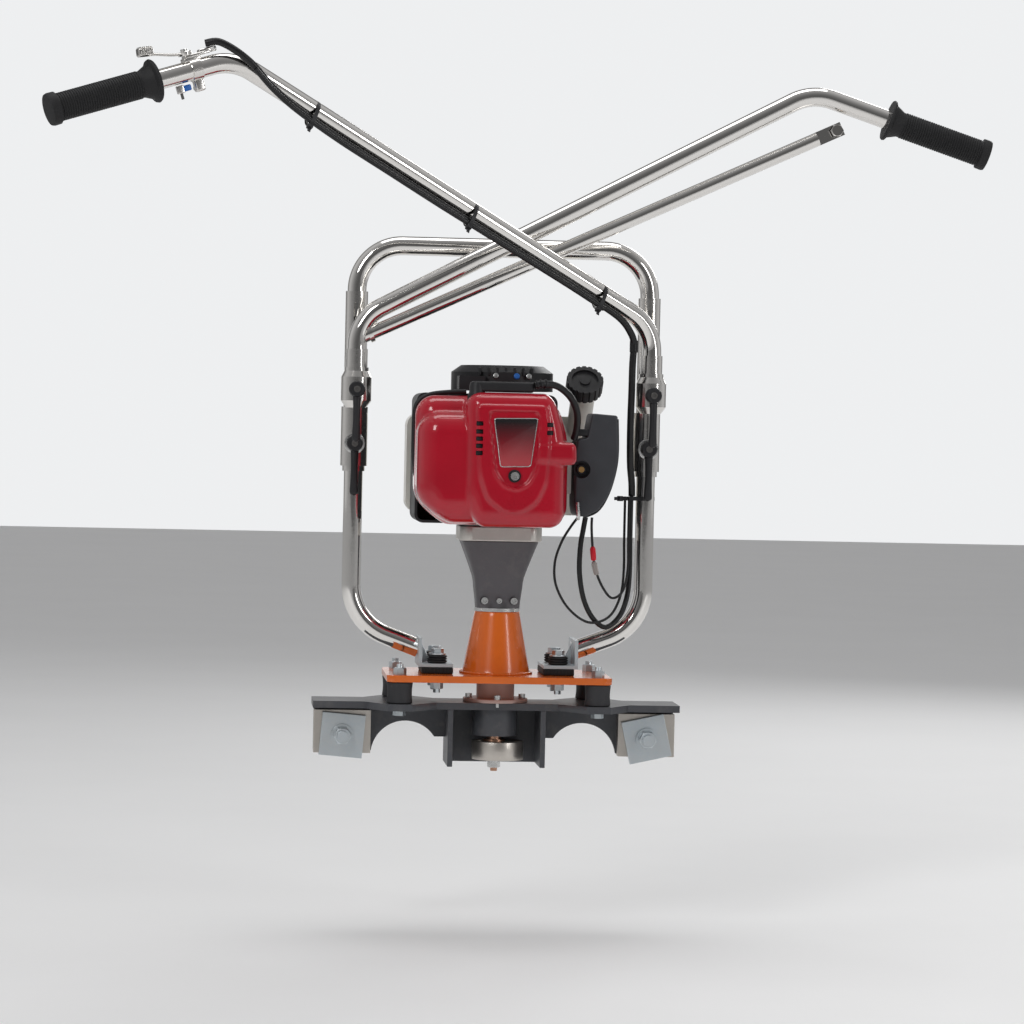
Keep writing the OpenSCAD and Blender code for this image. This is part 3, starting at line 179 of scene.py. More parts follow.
# Paints: a fine orange peel in the gloss, faint dust, and a little tone drift
def paint(name, base, rough, peel=0.10, coat=0.0, dust=0.06, dustTone=(0.34, 0.31, 0.28), specular=0.5):
    look = Look(name, Metallic=0.0, Coat_Weight=coat, Coat_Roughness=0.04, IOR=1.5,
                Specular_IOR_Level=specular)
    drift = look.noise(14.0, 4.0)
    darker = tuple(c * 0.86 for c in base)
    body = look.mix(look.ramp(drift, 0.35, 0.65), base, darker)
    dusty = look.ramp(look.noise(46.0, 6.0, roughness=0.7), 0.52, 0.78)
    look.colour(look.mix(dusty * dust, body, dustTone))
    look.rough(look.noise(30.0, 3.0) * 0.10 + dusty * 0.08 + (rough - 0.06))
    look.bump(look.noise(420.0, 2.0), peel, 0.0006)
    return look.material


# Bare metals: brushed or turned lines along one axis, blotches, and small scratches
def metal(name, base, rough, lines=(1, 1, 1), lineScale=300.0, depth=0.12, blotch=0.12, spread=0.12):
    look = Look(name, Metallic=1.0)
    grain = look.noise(lineScale, 2.0, lines)
    patches = look.ramp(look.noise(22.0, 5.0), 0.3, 0.72)
    darker = tuple(c * (1.0 - 2.4 * blotch) for c in base)
    tone = look.mix(patches * 0.6, base, darker)
    scratch = look.ramp(look.noise(130.0, 1.0, (1, 9, 1)), 0.66, 0.70)
    look.colour(look.mix(scratch * 0.18, tone, tuple(min(1.0, c * 1.25) for c in base)))
    look.rough(grain * spread + patches * 0.08 + (rough - 0.5 * spread))
    look.bump(grain, depth, 0.0004)
    return look.material


# Zinc: overlapping crystals with a bluish cast
def zinc(name, base, rough):
    look = Look(name, Metallic=1.0)
    crystal = look.cells(240.0)
    cloud = look.ramp(look.noise(36.0, 5.0), 0.32, 0.70)
    cool = (base[0] * 0.90, base[1] * 0.97, base[2] * 1.03)
    look.colour(look.mix(crystal * 0.35 + cloud * 0.4, base, cool))
    look.rough(cloud * 0.16 + crystal * 0.10 + (rough - 0.10))
    look.bump(look.noise(520.0, 2.0), 0.08, 0.0003)
    return look.material


# Chrome: near mirror, with faint hazing and finger marks
def chromed(name, base, rough):
    look = Look(name, Metallic=1.0)
    haze = look.ramp(look.noise(26.0, 5.0), 0.42, 0.80)
    smear = look.ramp(look.noise(90.0, 3.0, (1, 1, 0.25)), 0.55, 0.82)
    look.colour(look.mix(haze * 0.22, base, tuple(c * 0.86 for c in base)))
    look.rough(haze * 0.07 + smear * 0.05 + rough)
    look.bump(look.noise(160.0, 2.0), 0.015, 0.0003)
    return look.material


# Moulded plastics: a fine spark grain, with the sheen broken up
def plastic(name, base, rough, grain=0.25, scale=900.0, coat=0.0, wear=0.05):
    look = Look(name, Metallic=0.0, Coat_Weight=coat, Coat_Roughness=0.04, IOR=1.5, Specular_IOR_Level=0.35)
    cloud = look.ramp(look.noise(20.0, 4.0), 0.32, 0.70)
    lighter = tuple(min(1.0, c * 1.35 + 0.004) for c in base)
    body = look.mix(cloud * 0.5, base, lighter)
    scuff = look.ramp(look.noise(120.0, 6.0, roughness=0.75), 0.62, 0.76)
    look.colour(look.mix(scuff * wear, body, (0.30, 0.29, 0.28)))
    look.rough(look.noise(60.0, 3.0) * 0.12 + (rough - 0.06))
    look.bump(look.noise(scale, 2.0), grain, 0.0003)
    return look.material


# The badge: black at the top, fading through dark red to the cover's red
def badgeFade(name, low, high):
    look = Look(name, Metallic=0.0, Coat_Weight=1.0, Coat_Roughness=0.03, Roughness=0.22)
    point = look.add("ShaderNodeTexCoord", output=3)
    height = look.add("ShaderNodeSeparateXYZ", values={"Vector": point}, output=2)
    share = (height - low) / (high - low)
    stops = [(0.10, (0.42, 0.006, 0.018)), (0.62, (0.13, 0.004, 0.010)), (0.92, (0.012, 0.010, 0.011))]
    look.colour(look.add("ShaderNodeValToRGB", {"stops": stops}, {"Fac": share}))
    return look.material


def clearPlastic(name, base):
    look = Look(name, Metallic=0.0, Transmission_Weight=0.55, IOR=1.46)
    look.colour(look.mix(look.noise(200.0, 2.0), base, tuple(c * 0.8 for c in base)))
    look.rough(look.noise(150.0, 2.0) * 0.15 + 0.12)
    return look.material


redBase = (0.47, 0.004, 0.020)
looks = {
    "slate": paint("slatePaint", (0.068, 0.071, 0.080), 0.40, peel=0.16, dust=0.16),
    "orange": paint("orangePaint", (0.76, 0.150, 0.012), 0.24, peel=0.08, coat=0.35, dust=0.04),
    "neck": paint("neckPaint", (0.105, 0.101, 0.110), 0.46, peel=0.30, dust=0.14),
    "primer": paint("primedSteel", (0.50, 0.34, 0.30), 0.44, peel=0.12, dust=0.10),
    "red": paint("redCover", redBase, 0.30, peel=0.02, coat=1.0, dust=0.008, specular=0.15),
    "alu": metal("castAluminium", (0.66, 0.63, 0.59), 0.38, (6, 1, 1), 180.0, 0.14),
    "turned": metal("turnedSteel", (0.60, 0.57, 0.52), 0.28, (1, 1, 14), 160.0, 0.16),
    "brushed": metal("brushedSteel", (0.64, 0.60, 0.55), 0.33, (1, 1, 16), 120.0, 0.16, 0.14),
    "dark": metal("darkSteel", (0.16, 0.155, 0.15), 0.42, (1, 1, 1), 260.0, 0.12),
    "bright": metal("brightSteel", (0.74, 0.74, 0.73), 0.22, (1, 1, 6), 200.0, 0.08),
    "copper": metal("copperySteel", (0.62, 0.36, 0.25), 0.30, (1, 1, 12), 200.0, 0.12),
    "brass": metal("brassScrew", (0.66, 0.40, 0.16), 0.30, (1, 1, 1), 240.0, 0.10),
    "burnt": metal("burntSteel", (0.30, 0.27, 0.24), 0.50, (1, 1, 1), 120.0, 0.20, 0.20),
    "zinc": zinc("zincPlate", (0.63, 0.66, 0.67), 0.40),
    "chrome": chromed("polishedChrome", (0.84, 0.82, 0.79), 0.045),
    "satinChrome": chromed("satinChrome", (0.78, 0.76, 0.73), 0.14),
    "black": plastic("blackCasing", (0.016, 0.016, 0.018), 0.46, 0.22, 800.0, wear=0.08),
    "grey": plastic("filterCasing", (0.040, 0.042, 0.048), 0.44, 0.28, 700.0, wear=0.05),
    "rubber": plastic("gripRubber", (0.012, 0.012, 0.013), 0.62, 0.40, 600.0, wear=0.06),
    "buffer": plastic("bufferRubber", (0.030, 0.030, 0.033), 0.56, 0.35, 500.0, wear=0.10),
    "sheath": plastic("cableSheath", (0.010, 0.010, 0.011), 0.34, 0.10, 400.0, wear=0.02),
    "lever": plastic("leverNylon", (0.018, 0.018, 0.020), 0.42, 0.30, 900.0, wear=0.10),
    "tank": plastic("tankPlastic", (0.74, 0.72, 0.66), 0.34, 0.10, 300.0, wear=0.02),
    "blue": plastic("bluePlug", (0.02, 0.12, 0.42), 0.35, 0.10),
    "redPlug": plastic("redPlug", (0.62, 0.006, 0.020), 0.30, 0.08),
    "clear": clearPlastic("clearPlug", (0.78, 0.70, 0.66)),
}
print("looks:", len(looks))


# Mesh building

def addObject(name, mesh, look, smooth=True):
    piece = bpy.data.objects.new(name, mesh)
    bpy.context.scene.collection.objects.link(piece)
    piece.data.materials.clear()
    piece.data.materials.append(looks[look])
    if smooth:
        for face in piece.data.polygons:
            face.use_smooth = True
    return piece


def fromBmesh(name, form, look, smooth=True):
    bmesh.ops.recalc_face_normals(form, faces=form.faces)
    mesh = bpy.data.meshes.new(name)
    form.to_mesh(mesh)
    form.free()
    return addObject(name, mesh, look, smooth)


# Hands a finished piece to its body and hides the nodes that it stands for
def settle(piece, body, slot, *stoodFor):
    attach(piece, body)
    if stoodFor:
        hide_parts(*stoodFor)
    return piece


def withModifiers(piece):
    graph = bpy.context.evaluated_depsgraph_get()
    baked = bpy.data.meshes.new_from_object(piece.evaluated_get(graph))
    piece.modifiers.clear()
    piece.data = baked
    return piece


def autoSmooth(piece, degrees=35.0):
    limit = math.cos(math.radians(degrees))
    form = bmesh.new()
    form.from_mesh(piece.data)
    for edge in form.edges:
        if len(edge.link_faces) == 2:
            first, second = (f.normal for f in edge.link_faces)
            edge.smooth = first.dot(second) > limit
    form.to_mesh(piece.data)
    form.free()
    for face in piece.data.polygons:
        face.use_smooth = True
    return piece


# Skins neighbouring rings of points: a closed set joins its last ring to its first, others get end caps
def skinned(form, rings, closed=False):
    following = rings[1:] + rings[:1] if closed else rings[1:]
    for low, high in zip(rings, following):
        for k in range(len(low)):
            n = (k + 1) % len(low)
            form.faces.new((low[k], low[n], high[n], high[k]))
    if not closed:
        form.faces.new(list(reversed(rings[0])))
        form.faces.new(rings[-1])


# A ring of points, each placed from its angle
def ringOf(form, count, pointAt):
    return [form.verts.new(pointAt(2 * math.pi * k / count)) for k in range(count)]


def onCircle(radius, angle, height=0.0):
    return Vector((radius * math.cos(angle), radius * math.sin(angle), height))


# A turned shape: profile is (radius, height) from the foot up, round the given axes
def turned(name, profile, look, place=Matrix.Identity(4), steps=72, closed=False):
    form = bmesh.new()
    rings = [ringOf(form, steps, lambda a: place @ onCircle(radius, a, height)) for radius, height in profile]
    skinned(form, rings, closed)
    return autoSmooth(fromBmesh(name, form, look))


# A closed ring of a turned shape, for sleeves and washers with a hole
def turnedRing(name, profile, look, place=Matrix.Identity(4), steps=72):
    return turned(name, profile, look, place, steps, True)


# Corner points with an arc of the given radius at each inner corner
def filleted(corners, radii, step=math.radians(3)):
    path = [corners[0]]
    for before, corner, after, radius in zip(corners, corners[1:], corners[2:], radii):
        entry = (before - corner).normalized()
        leave = (after - corner).normalized()
        half = entry.angle(leave) / 2
        tangent = radius / math.tan(half)
        centre = corner + (entry + leave).normalized() * (radius / math.sin(half))
        first = corner + entry * tangent - centre
        axis = entry.cross(leave).normalized()
        turn = math.pi - 2 * half
        count = max(4, int(turn / step))
        for k in range(count + 1):
            path.append(centre + Matrix.Rotation(-turn * k / count, 3, axis) @ first)
    path.append(corners[-1])
    return path


# Points given in millimetres, in place's axes
def metres(route, place=Matrix.Identity(4)):
    return [place @ (Vector(p) / 1000) for p in route]


# Smooth points along a route, as a Catmull-Rom curve
def smoothed(route, cuts):
    points = [Vector(p) for p in route]
    path = []
    for i in range(len(points) - 1):
        a, b = points[max(i - 1, 0)], points[i]
        c, d = points[i + 1], points[min(i + 2, len(points) - 1)]
        for k in range(cuts):
            t = k / cuts
            path.append(0.5 * (2 * b + (c - a) * t + (2 * a - 5 * b + 4 * c - d) * t * t
                               + (3 * b - a - 3 * c + d) * t ** 3))
    path.append(points[-1])
    return path


# A round tube along a path; a wall makes it hollow at both ends
def swept(name, path, radius, look, sides=40, wall=0.0, crease=35.0):
    form = bmesh.new()
    side = Vector((0.31, 0.87, 0.38))
    frames = []
    for i, point in enumerate(path):
        along = (path[min(i + 1, len(path) - 1)] - path[max(i - 1, 0)]).normalized()
        side = (side - along * side.dot(along)).normalized()
        frames.append((point, side.copy(), along.cross(side)))

    def ring(index, size):
        point, first, second = frames[index]
        return ringOf(form, sides, lambda a: point + size * (math.cos(a) * first + math.sin(a) * second))

    rings = [ring(i, radius) for i in range(len(path))]
    if wall:
        rings += [ring(i, radius - wall) for i in reversed(range(len(path)))]
    skinned(form, rings, closed=wall > 0)
    return autoSmooth(fromBmesh(name, form, look), crease)


# An outline in the XZ plane, given thickness along Y and rounded edges
def slab(name, outline, thick, look, place=Matrix.Identity(4), edge=0.001, segments=3):
    form = bmesh.new()
    face = form.faces.new([form.verts.new((x, 0.0, z)) for x, z in outline])
    grown = bmesh.ops.extrude_face_region(form, geom=[face])
    for vertex in [g for g in grown["geom"] if isinstance(g, bmesh.types.BMVert)]:
        vertex.co.y += thick
    bmesh.ops.transform(form, matrix=place, verts=form.verts)
    piece = fromBmesh(name, form, look)
    bevel = piece.modifiers.new("edge", "BEVEL")
    bevel.width = edge
    bevel.segments = segments
    bevel.limit_method = "ANGLE"
    bevel.angle_limit = math.radians(28)
    return autoSmooth(withModifiers(piece), 40.0)


# Points round an ellipse's arc, in degrees
def arc(centre, radii, start, end, count):
    angles = [math.radians(start + (end - start) * k / count) for k in range(count + 1)]
    return [(centre[0] + radii[0] * math.cos(a), centre[1] + radii[1] * math.sin(a)) for a in angles]


def roundedOutline(low, high, radius, count=6):
    corners = [((high[0] - radius, high[1] - radius), 0), ((low[0] + radius, high[1] - radius), 90),
               ((low[0] + radius, low[1] + radius), 180), ((high[0] - radius, low[1] + radius), 270)]
    return [p for centre, start in corners for p in arc(centre, (radius, radius), start, start + 90, count)]


# A block whose edges are rounded by a real radius, each corner arc in even steps
def softBlock(form, low, high, radius, steps=4):
    low, high = Vector(low), Vector(high)
    radius = min([radius] + [0.499 * (high[i] - low[i]) for i in range(3)])
    inward = [radius * (1 - math.tan(math.radians(45 * (1 - k / steps)))) for k in range(steps + 1)]
    lines = [[low[i] + d for d in inward] + [high[i] - d for d in reversed(inward)] for i in range(3)]
    last = 2 * steps + 1
    made = {}

    def cornerPoint(key):
        if key not in made:
            point = Vector(lines[i][key[i]] for i in range(3))
            core = Vector(min(max(point[i], low[i] + radius), high[i] - radius) for i in range(3))
            made[key] = form.verts.new(core + (point - core).normalized() * radius)
        return made[key]

    for axis in range(3):
        for end in (0, last):
            for u in range(last):
                for v in range(last):
                    loop = []
                    for a, b in ((u, v), (u + 1, v), (u + 1, v + 1), (u, v + 1)):
                        key = [a, b]
                        key.insert(axis, end)
                        loop.append(cornerPoint(tuple(key)))
                    form.faces.new(loop)


# A soft block given in millimetres, in place's axes
def blockPiece(name, place, low, high, radius, look, steps=3):
    form = bmesh.new()
    softBlock(form, Vector(low) / 1000, Vector(high) / 1000, radius / 1000, steps)
    bmesh.ops.transform(form, matrix=place, verts=form.verts)
    return fromBmesh(name, form, look)


# Joins closed forms into one skin, and smooths where they meet
def fused(name, form, look, voxel, passes):
    piece = fromBmesh(name, form, look)
    remesh = piece.modifiers.new("skin", "REMESH")
    remesh.mode = "VOXEL"
    remesh.voxel_size = voxel
    soften = piece.modifiers.new("soften", "SMOOTH")
    soften.factor = 0.5
    soften.iterations = passes
    withModifiers(piece)
    piece.data.materials.clear()
    piece.data.materials.append(looks[look])
    for face in piece.data.polygons:
        face.use_smooth = True
    return piece


# Takes all the cutters, which stand clear of each other, out of a piece in one go
def cut(piece, cutters):
    form = bmesh.new()
    for tool in cutters:
        form.from_mesh(tool.data)
        bpy.data.objects.remove(tool)
    joined = fromBmesh("cutter", form, "black")
    modifier = piece.modifiers.new("cut", "BOOLEAN")
    modifier.operation = "DIFFERENCE"
    modifier.solver = "MANIFOLD"
    modifier.object = joined
    withModifiers(piece)
    bpy.data.objects.remove(joined)
    return piece


def smoothStep(low, high, value):
    share = min(1.0, max(0.0, (value - low) / (high - low)))
    return share * share * (3 - 2 * share)


# A frame whose Z points along the given direction
def facing(point, direction, spin=0.0):
    turn = Vector(direction).to_track_quat("Z", "Y").to_matrix().to_4x4()
    return Matrix.Translation(point) @ turn @ Matrix.Rotation(spin, 4, "Z")


# A socket-head screw's head, with its hexagon recess, standing on place's origin
def capHead(name, diameter, height, look, place, sides=36, recess=0.46):
    form = bmesh.new()
    r = diameter / 2
    profile = [(r, 0.0), (r, height * 0.9), (r * 0.93, height), (r * 0.55, height)]
    rings = [ringOf(form, sides, lambda a: onCircle(radius, a, level)) for radius, level in profile]
    sixth = math.pi / 3
    for level in (height, height * 0.45):
        rings.append(ringOf(form, sides, lambda a: onCircle(
            r * recess / math.cos(a % sixth - sixth / 2), a, level)))
    skinned(form, rings)
    bmesh.ops.transform(form, matrix=place, verts=form.verts)
    return autoSmooth(fromBmesh(name, form, look), 30.0)


# Camera, floor and light

stageSizes = {
    "target": (0.015, 0.0, 0.228),
    "azimuth": -5.0,
    "elevation": 1.5,
    "roll": 1.25,
    "distance": 4.0,
    "frameWidth": 1.188,
    "sensor": 36.0,
    "floorDrop": 0.19,
    "walls": [(0.0, 0.10), (1.0, 0.40), (0.30, 0.34), (0.60, 0.55), (0.78, 0.42), (0.90, 0.06)],
    "backdrop": (0.90, 0.91, 0.92, 1.0),
    "worldStrength": 0.95,
    "floorHalf": 14.0,
    "clipEnd": 60.0,
    "aim": (0, 0, 0.3),
    "lights": {
        "key": ((-2.0, -3.0, 2.4), (0.9, 1.8), 44),
        "fill": ((2.6, -2.6, 1.4), (0.5, 2.0), 20),
        "top": ((0.0, 0.2, 3.0), (2.2, 1.2), 24),
        "rim": ((1.6, 3.0, 1.8), (1.0, 1.6), 26),
    },
}


def makeCamera():
    s = stageSizes
    camera = bpy.data.objects.new("camera", bpy.data.cameras.new("camera"))
    bpy.context.scene.collection.objects.link(camera)
    camera.data.sensor_width = s["sensor"]
    camera.data.lens = s["sensor"] * s["distance"] / s["frameWidth"]
    a, e = math.radians(s["azimuth"]), math.radians(s["elevation"])
    back = Vector((math.sin(a) * math.cos(e), -math.cos(a) * math.cos(e), math.sin(e)))
    camera.rotation_mode = "QUATERNION"
    camera.location = Vector(s["target"]) + back * s["distance"]
    roll = Matrix.Rotation(math.radians(s["roll"]), 3, "Z").to_quaternion()
    camera.rotation_quaternion = (-back).to_track_quat("-Z", "Y") @ roll
    camera.data.clip_end = s["clipEnd"]
    bpy.context.scene.camera = camera


def makeLight(name, place, size, power):
    lamp = bpy.data.lights.new(name, "AREA")
    lamp.shape = "RECTANGLE"
    lamp.size, lamp.size_y = size
    lamp.energy = power
    thing = bpy.data.objects.new(name, lamp)
    bpy.context.scene.collection.objects.link(thing)
    thing.location = place
    thing.rotation_mode = "QUATERNION"
    thing.rotation_quaternion = (Vector(stageSizes["aim"]) - Vector(place)).to_track_quat("-Z", "Y")


def makeStage():
    level = cadLow.z - stageSizes["floorDrop"]
    form = bmesh.new()
    bmesh.ops.create_grid(form, x_segments=24, y_segments=24, size=stageSizes["floorHalf"])
    bmesh.ops.translate(form, verts=form.verts, vec=(0, 0, level))
    floorLook = Look("paleFloor", Metallic=0.0)
    floorLook.colour(floorLook.mix(floorLook.noise(3.0, 3.0), (0.90, 0.90, 0.90), (0.86, 0.86, 0.86)))
    floorLook.rough(floorLook.noise(8.0, 2.0) * 0.1 + 0.55)
    looks["floor"] = floorLook.material
    fromBmesh("floor", form, "floor", smooth=False)
    world = bpy.data.worlds.new("studio")
    bpy.context.scene.world = world
    world.use_nodes = True
    tree = world.node_tree
    sky = tree.nodes["Background"]
    sky.inputs["Strength"].default_value = stageSizes["worldStrength"]

    def worldNode(kind, output, settings, **links):
        node = tree.nodes.new(kind)
        for name, value in settings.items():
            setattr(node, name, value)
        for key, value in links.items():
            socket = node.inputs[int(key[1:])]
            if isinstance(value, bpy.types.NodeSocket):
                tree.links.new(value, socket)
            else:
                socket.default_value = value
        return node.outputs[output]

    # reflections see darker walls than the pale backdrop, so that polished tube shows its roundness
    point = worldNode("ShaderNodeTexCoord", "Generated", {})
    depth = worldNode("ShaderNodeSeparateXYZ", "Y", {}, i0=point)
    share = worldNode("ShaderNodeMath", 0, {"operation": "MULTIPLY_ADD"}, i0=depth, i1=0.5, i2=0.5)
    walls = worldNode("ShaderNodeValToRGB", "Color", {}, i0=share)
    ramp = walls.node.color_ramp
    levels = stageSizes["walls"]
    stops = list(ramp.elements) + [ramp.elements.new(0.5) for _ in levels[2:]]
    for element, (spot, level) in zip(stops, levels):
        element.position = spot
        element.color = (level, level, level * 1.01, 1.0)
    direct = worldNode("ShaderNodeLightPath", "Is Camera Ray", {})
    backdrop = worldNode("ShaderNodeMix", 2, {"data_type": "RGBA"}, i0=direct, i6=walls,
                         i7=stageSizes["backdrop"])
    tree.links.new(backdrop, sky.inputs["Color"])
    for name, (place, size, power) in stageSizes["lights"].items():
        makeLight(name, place, size, power)


makeCamera()
makeStage()
bpy.context.scene.view_settings.view_transform = "Standard"
print("stage: made")


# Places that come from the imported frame

uprightX = (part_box("column_right")[0].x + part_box("column_right")[1].x) / 2
tubeR = (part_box("carry_loop")[1].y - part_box("carry_loop")[0].y) / 2
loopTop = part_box("carry_loop")[1].z - tubeR
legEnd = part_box("carry_loop")[0].z
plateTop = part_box("mount_plate")[1].z
pivotLeft = Vector(joints["handlebar_left_swivel"]["pos_m"])
pivotRight = Vector(joints["handlebar_right_swivel"]["pos_m"])

tubeSizes = {
    "wall": 0.002,
    "loopBend": 0.052,
    "lowerBend": 0.062,
    "lowerDip": math.radians(20.3),
    "lowerTop": 0.400,
    "endRise": 0.028,
    "endX": 0.0905,
    "seatX": 0.092,
    "elbowZ": 0.446,
    "elbowR": 0.050,
    "armRise": math.radians(27.8),
    "reach": 0.520,
    "handBend": 0.060,
    "handFall": math.radians(18),
    "handLen": 0.218,
    "foot": 0.3563,
    "gripEnd": 0.005,
    "fold": math.radians(200),
}
cornerZ = tubeSizes["elbowZ"] + tubeSizes["reach"] * math.tan(tubeSizes["armRise"])
armPlace = {
    "right": Matrix.Translation((pivotRight.x, pivotRight.y, 0)),
    "left": Matrix.Translation((pivotLeft.x, pivotLeft.y, 0)) @ Matrix.Rotation(tubeSizes["fold"], 4, "Z"),
}


def handPlace(side, along=0.0, off=0.0):
    corner = Matrix.Translation((tubeSizes["reach"], 0, cornerZ))
    fall = Matrix.Rotation(tubeSizes["handFall"], 4, "Y")
    return armPlace[side] @ corner @ fall @ Matrix.Translation((along, 0, off))


def makeTubes():
    t = tubeSizes
    corners = [Vector((-uprightX, 0, legEnd)), Vector((-uprightX, 0, loopTop)),
               Vector((uprightX, 0, loopTop)), Vector((uprightX, 0, legEnd))]
    loop = swept("carryLoop", filleted(corners, [t["loopBend"]] * 2), tubeR, "chrome", wall=t["wall"])
    settle(loop, "upper_frame", "chrome", "carry_loop")
    endZ = plateTop + t["endRise"]
    for side, sign in (("left", -1), ("right", 1)):
        cornerX = sign * uprightX
        lowZ = endZ + (uprightX - t["seatX"]) * math.tan(t["lowerDip"])
        corners = [Vector((cornerX, 0, t["lowerTop"])), Vector((cornerX, 0, lowZ)),
                   Vector((sign * t["endX"], 0, endZ - (t["seatX"] - t["endX"]) * math.tan(t["lowerDip"])))]
        path = filleted(corners, [t["lowerBend"]])
        tube = swept("lowerTube." + side, path, tubeR, "chrome", wall=t["wall"])
        settle(tube, "frame", "chrome", "lower_tube_" + side)
    for side in ("left", "right"):
        place = armPlace[side]
        hand = handPlace(side)
        corners = [place @ Vector((0, 0, t["foot"])), place @ Vector((0, 0, t["elbowZ"])),
                   place @ Vector((t["reach"], 0, cornerZ)),
                   hand @ Vector((t["handLen"] - t["gripEnd"], 0, 0))]
        path = filleted(corners, [t["elbowR"], t["handBend"]])
        tube = swept("armTube." + side, path, tubeR, "chrome", wall=t["wall"])
        settle(tube, "handlebar_" + side, "chrome", "handlebar_" + side)


makeTubes()
print("tubes: made")


# Millimetres from a node's lowest corner, in the part's own frame
def corner(node, x=0.0, y=0.0, z=0.0):
    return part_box(node)[0] + Vector((x, y, z)) / 1000


def span(node):
    low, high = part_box(node)
    return low, high, (low + high) / 2


# Rounds the corners of a flat outline
def roundCorners(outline, radius, count=6):
    rounded = []
    total = len(outline)
    for i, here in enumerate(outline):
        before, after = Vector(outline[i - 1]), Vector(outline[(i + 1) % total])
        here = Vector(here)
        start = here + (before - here).normalized() * radius
        end = here + (after - here).normalized() * radius
        for k in range(count + 1):
            t = k / count
            rounded.append(tuple((1 - t) ** 2 * start + 2 * t * (1 - t) * here + t * t * end))
    return rounded


# The red cover: a main form, a lower lobe on its left, and a lug on its right

coverSizes = {
    "voxel": 0.0015,
    "soften": 5,
    "main": ((54, 3, 2), (167, 92, 153), 17),
    "lobe": ((1, 11, 5), (86, 92, 131), 26),
    "rear": ((0, 36, 3), (174, 104, 149), 22),
    "lug": ((132, 1, 73), (179, 62, 99), 7),
    "outerU": [(64, 140), (69, 60), (78, 32), (98, 17), (118, 17), (136, 30), (146, 52), (152, 140)],
    "innerU": [(79, 132), (88, 64), (98, 50), (112, 46), (124, 52), (132, 68), (139, 132)],
    "badge": [(85, 124), (134, 125), (127, 71), (93, 70)],
    "badgeThick": 3.0,
    "badgeFade": (0.070, 0.125),
    "front": 3,
    "vents": [(69, 118), (69, 109), (69, 101), (69, 93), (69, 85), (148, 118), (148, 109)],
    "vent": (7.5, 5.0),
    "ventDepth": (-6, 12),
    "linerDepth": (4.5, 10.5),
    "relief": (10, 22),
    "raise": 3.0,
    "raisedEdge": (-3.0, 1.0),
    "sink": 2.6,
    "sunkEdge": (-1.4, 1.0),
    "lip": 0.5,
    "lipCentre": 1.6,
    "lipWide": 2.2,
    "shoulder": 13.0,
    "shoulderRise": (72, 156),
    "shoulderSide": (112, 167),
    "heel": 24.0,
    "heelTop": 56,
    "heelSide": 100,
    "screw": (109, 1.2, 60),
    "screwCup": [(0.0031, 0), (0.0068, 0), (0.0072, 0.0006), (0.0068, 0.0012), (0.0034, 0.0009)],
    "seam": [(44, 14), (30, 18), (16, 28), (6, 44), (1, 66), (-0.5, 96), (0, 130), (5, 143), (18, 150),
             (40, 153), (58, 154)],
    "seamDepth": 70,
    "seamRadius": 0.0026,
}


def edgeDistance(point, outline):
    inside = False
    nearest = 1e9
    for (ax, az), (bx, bz) in zip(outline, outline[1:] + outline[:1]):
        ex, ez = bx - ax, bz - az
        share = ((point[0] - ax) * ex + (point[1] - az) * ez) / (ex * ex + ez * ez)
        share = min(1.0, max(0.0, share))
        nearest = min(nearest, math.hypot(point[0] - ax - share * ex, point[1] - az - share * ez))
        if (az > point[1]) != (bz > point[1]) and point[0] < ax + (point[1] - az) * ex / ez:
            inside = not inside
    return -nearest if inside else nearest


# A soft block in a vent's place, smaller than the vent by a gap on every side
def ventBlock(name, base, place, depth, gap, radius):
    halves = [size / 2 - gap for size in coverSizes["vent"]]
    low = base + Vector((place[0] - halves[0], depth[0], place[1] - halves[1])) / 1000
    high = base + Vector((place[0] + halves[0], depth[1], place[1] + halves[1])) / 1000
    form = bmesh.new()
    softBlock(form, low, high, radius, 2)
    return fromBmesh(name, form, "black")


# Where a point of the plain cover goes: the front's raised and sunken panels, the shoulder and the heel
def coverPoint(point, front, outer, inner):
    c = coverSizes
    x, y, z = point
    if front and y < c["relief"][1]:
        level = 1 - smoothStep(*c["relief"], y)
        toInner = edgeDistance((x, z), inner)
        raised = 1 - smoothStep(*c["raisedEdge"], edgeDistance((x, z), outer))
        sunk = 1 - smoothStep(*c["sunkEdge"], toInner)
        lip = 1 - smoothStep(0.0, c["lipWide"], abs(toInner - c["lipCentre"]))
        y += level * (c["sink"] * sunk - c["raise"] * raised - c["lip"] * lip)
    rise = smoothStep(*c["shoulderRise"], z)
    drop = smoothStep(0, 1, (c["heelTop"] - z) / c["heelTop"])
    start, end = c["shoulderSide"]
    x -= c["shoulder"] * rise * rise * max(0.0, (x - start) / (end - start))
    x += c["heel"] * drop * drop * max(0.0, (c["heelSide"] - x) / c["heelSide"])
    return Vector((x, y, z))


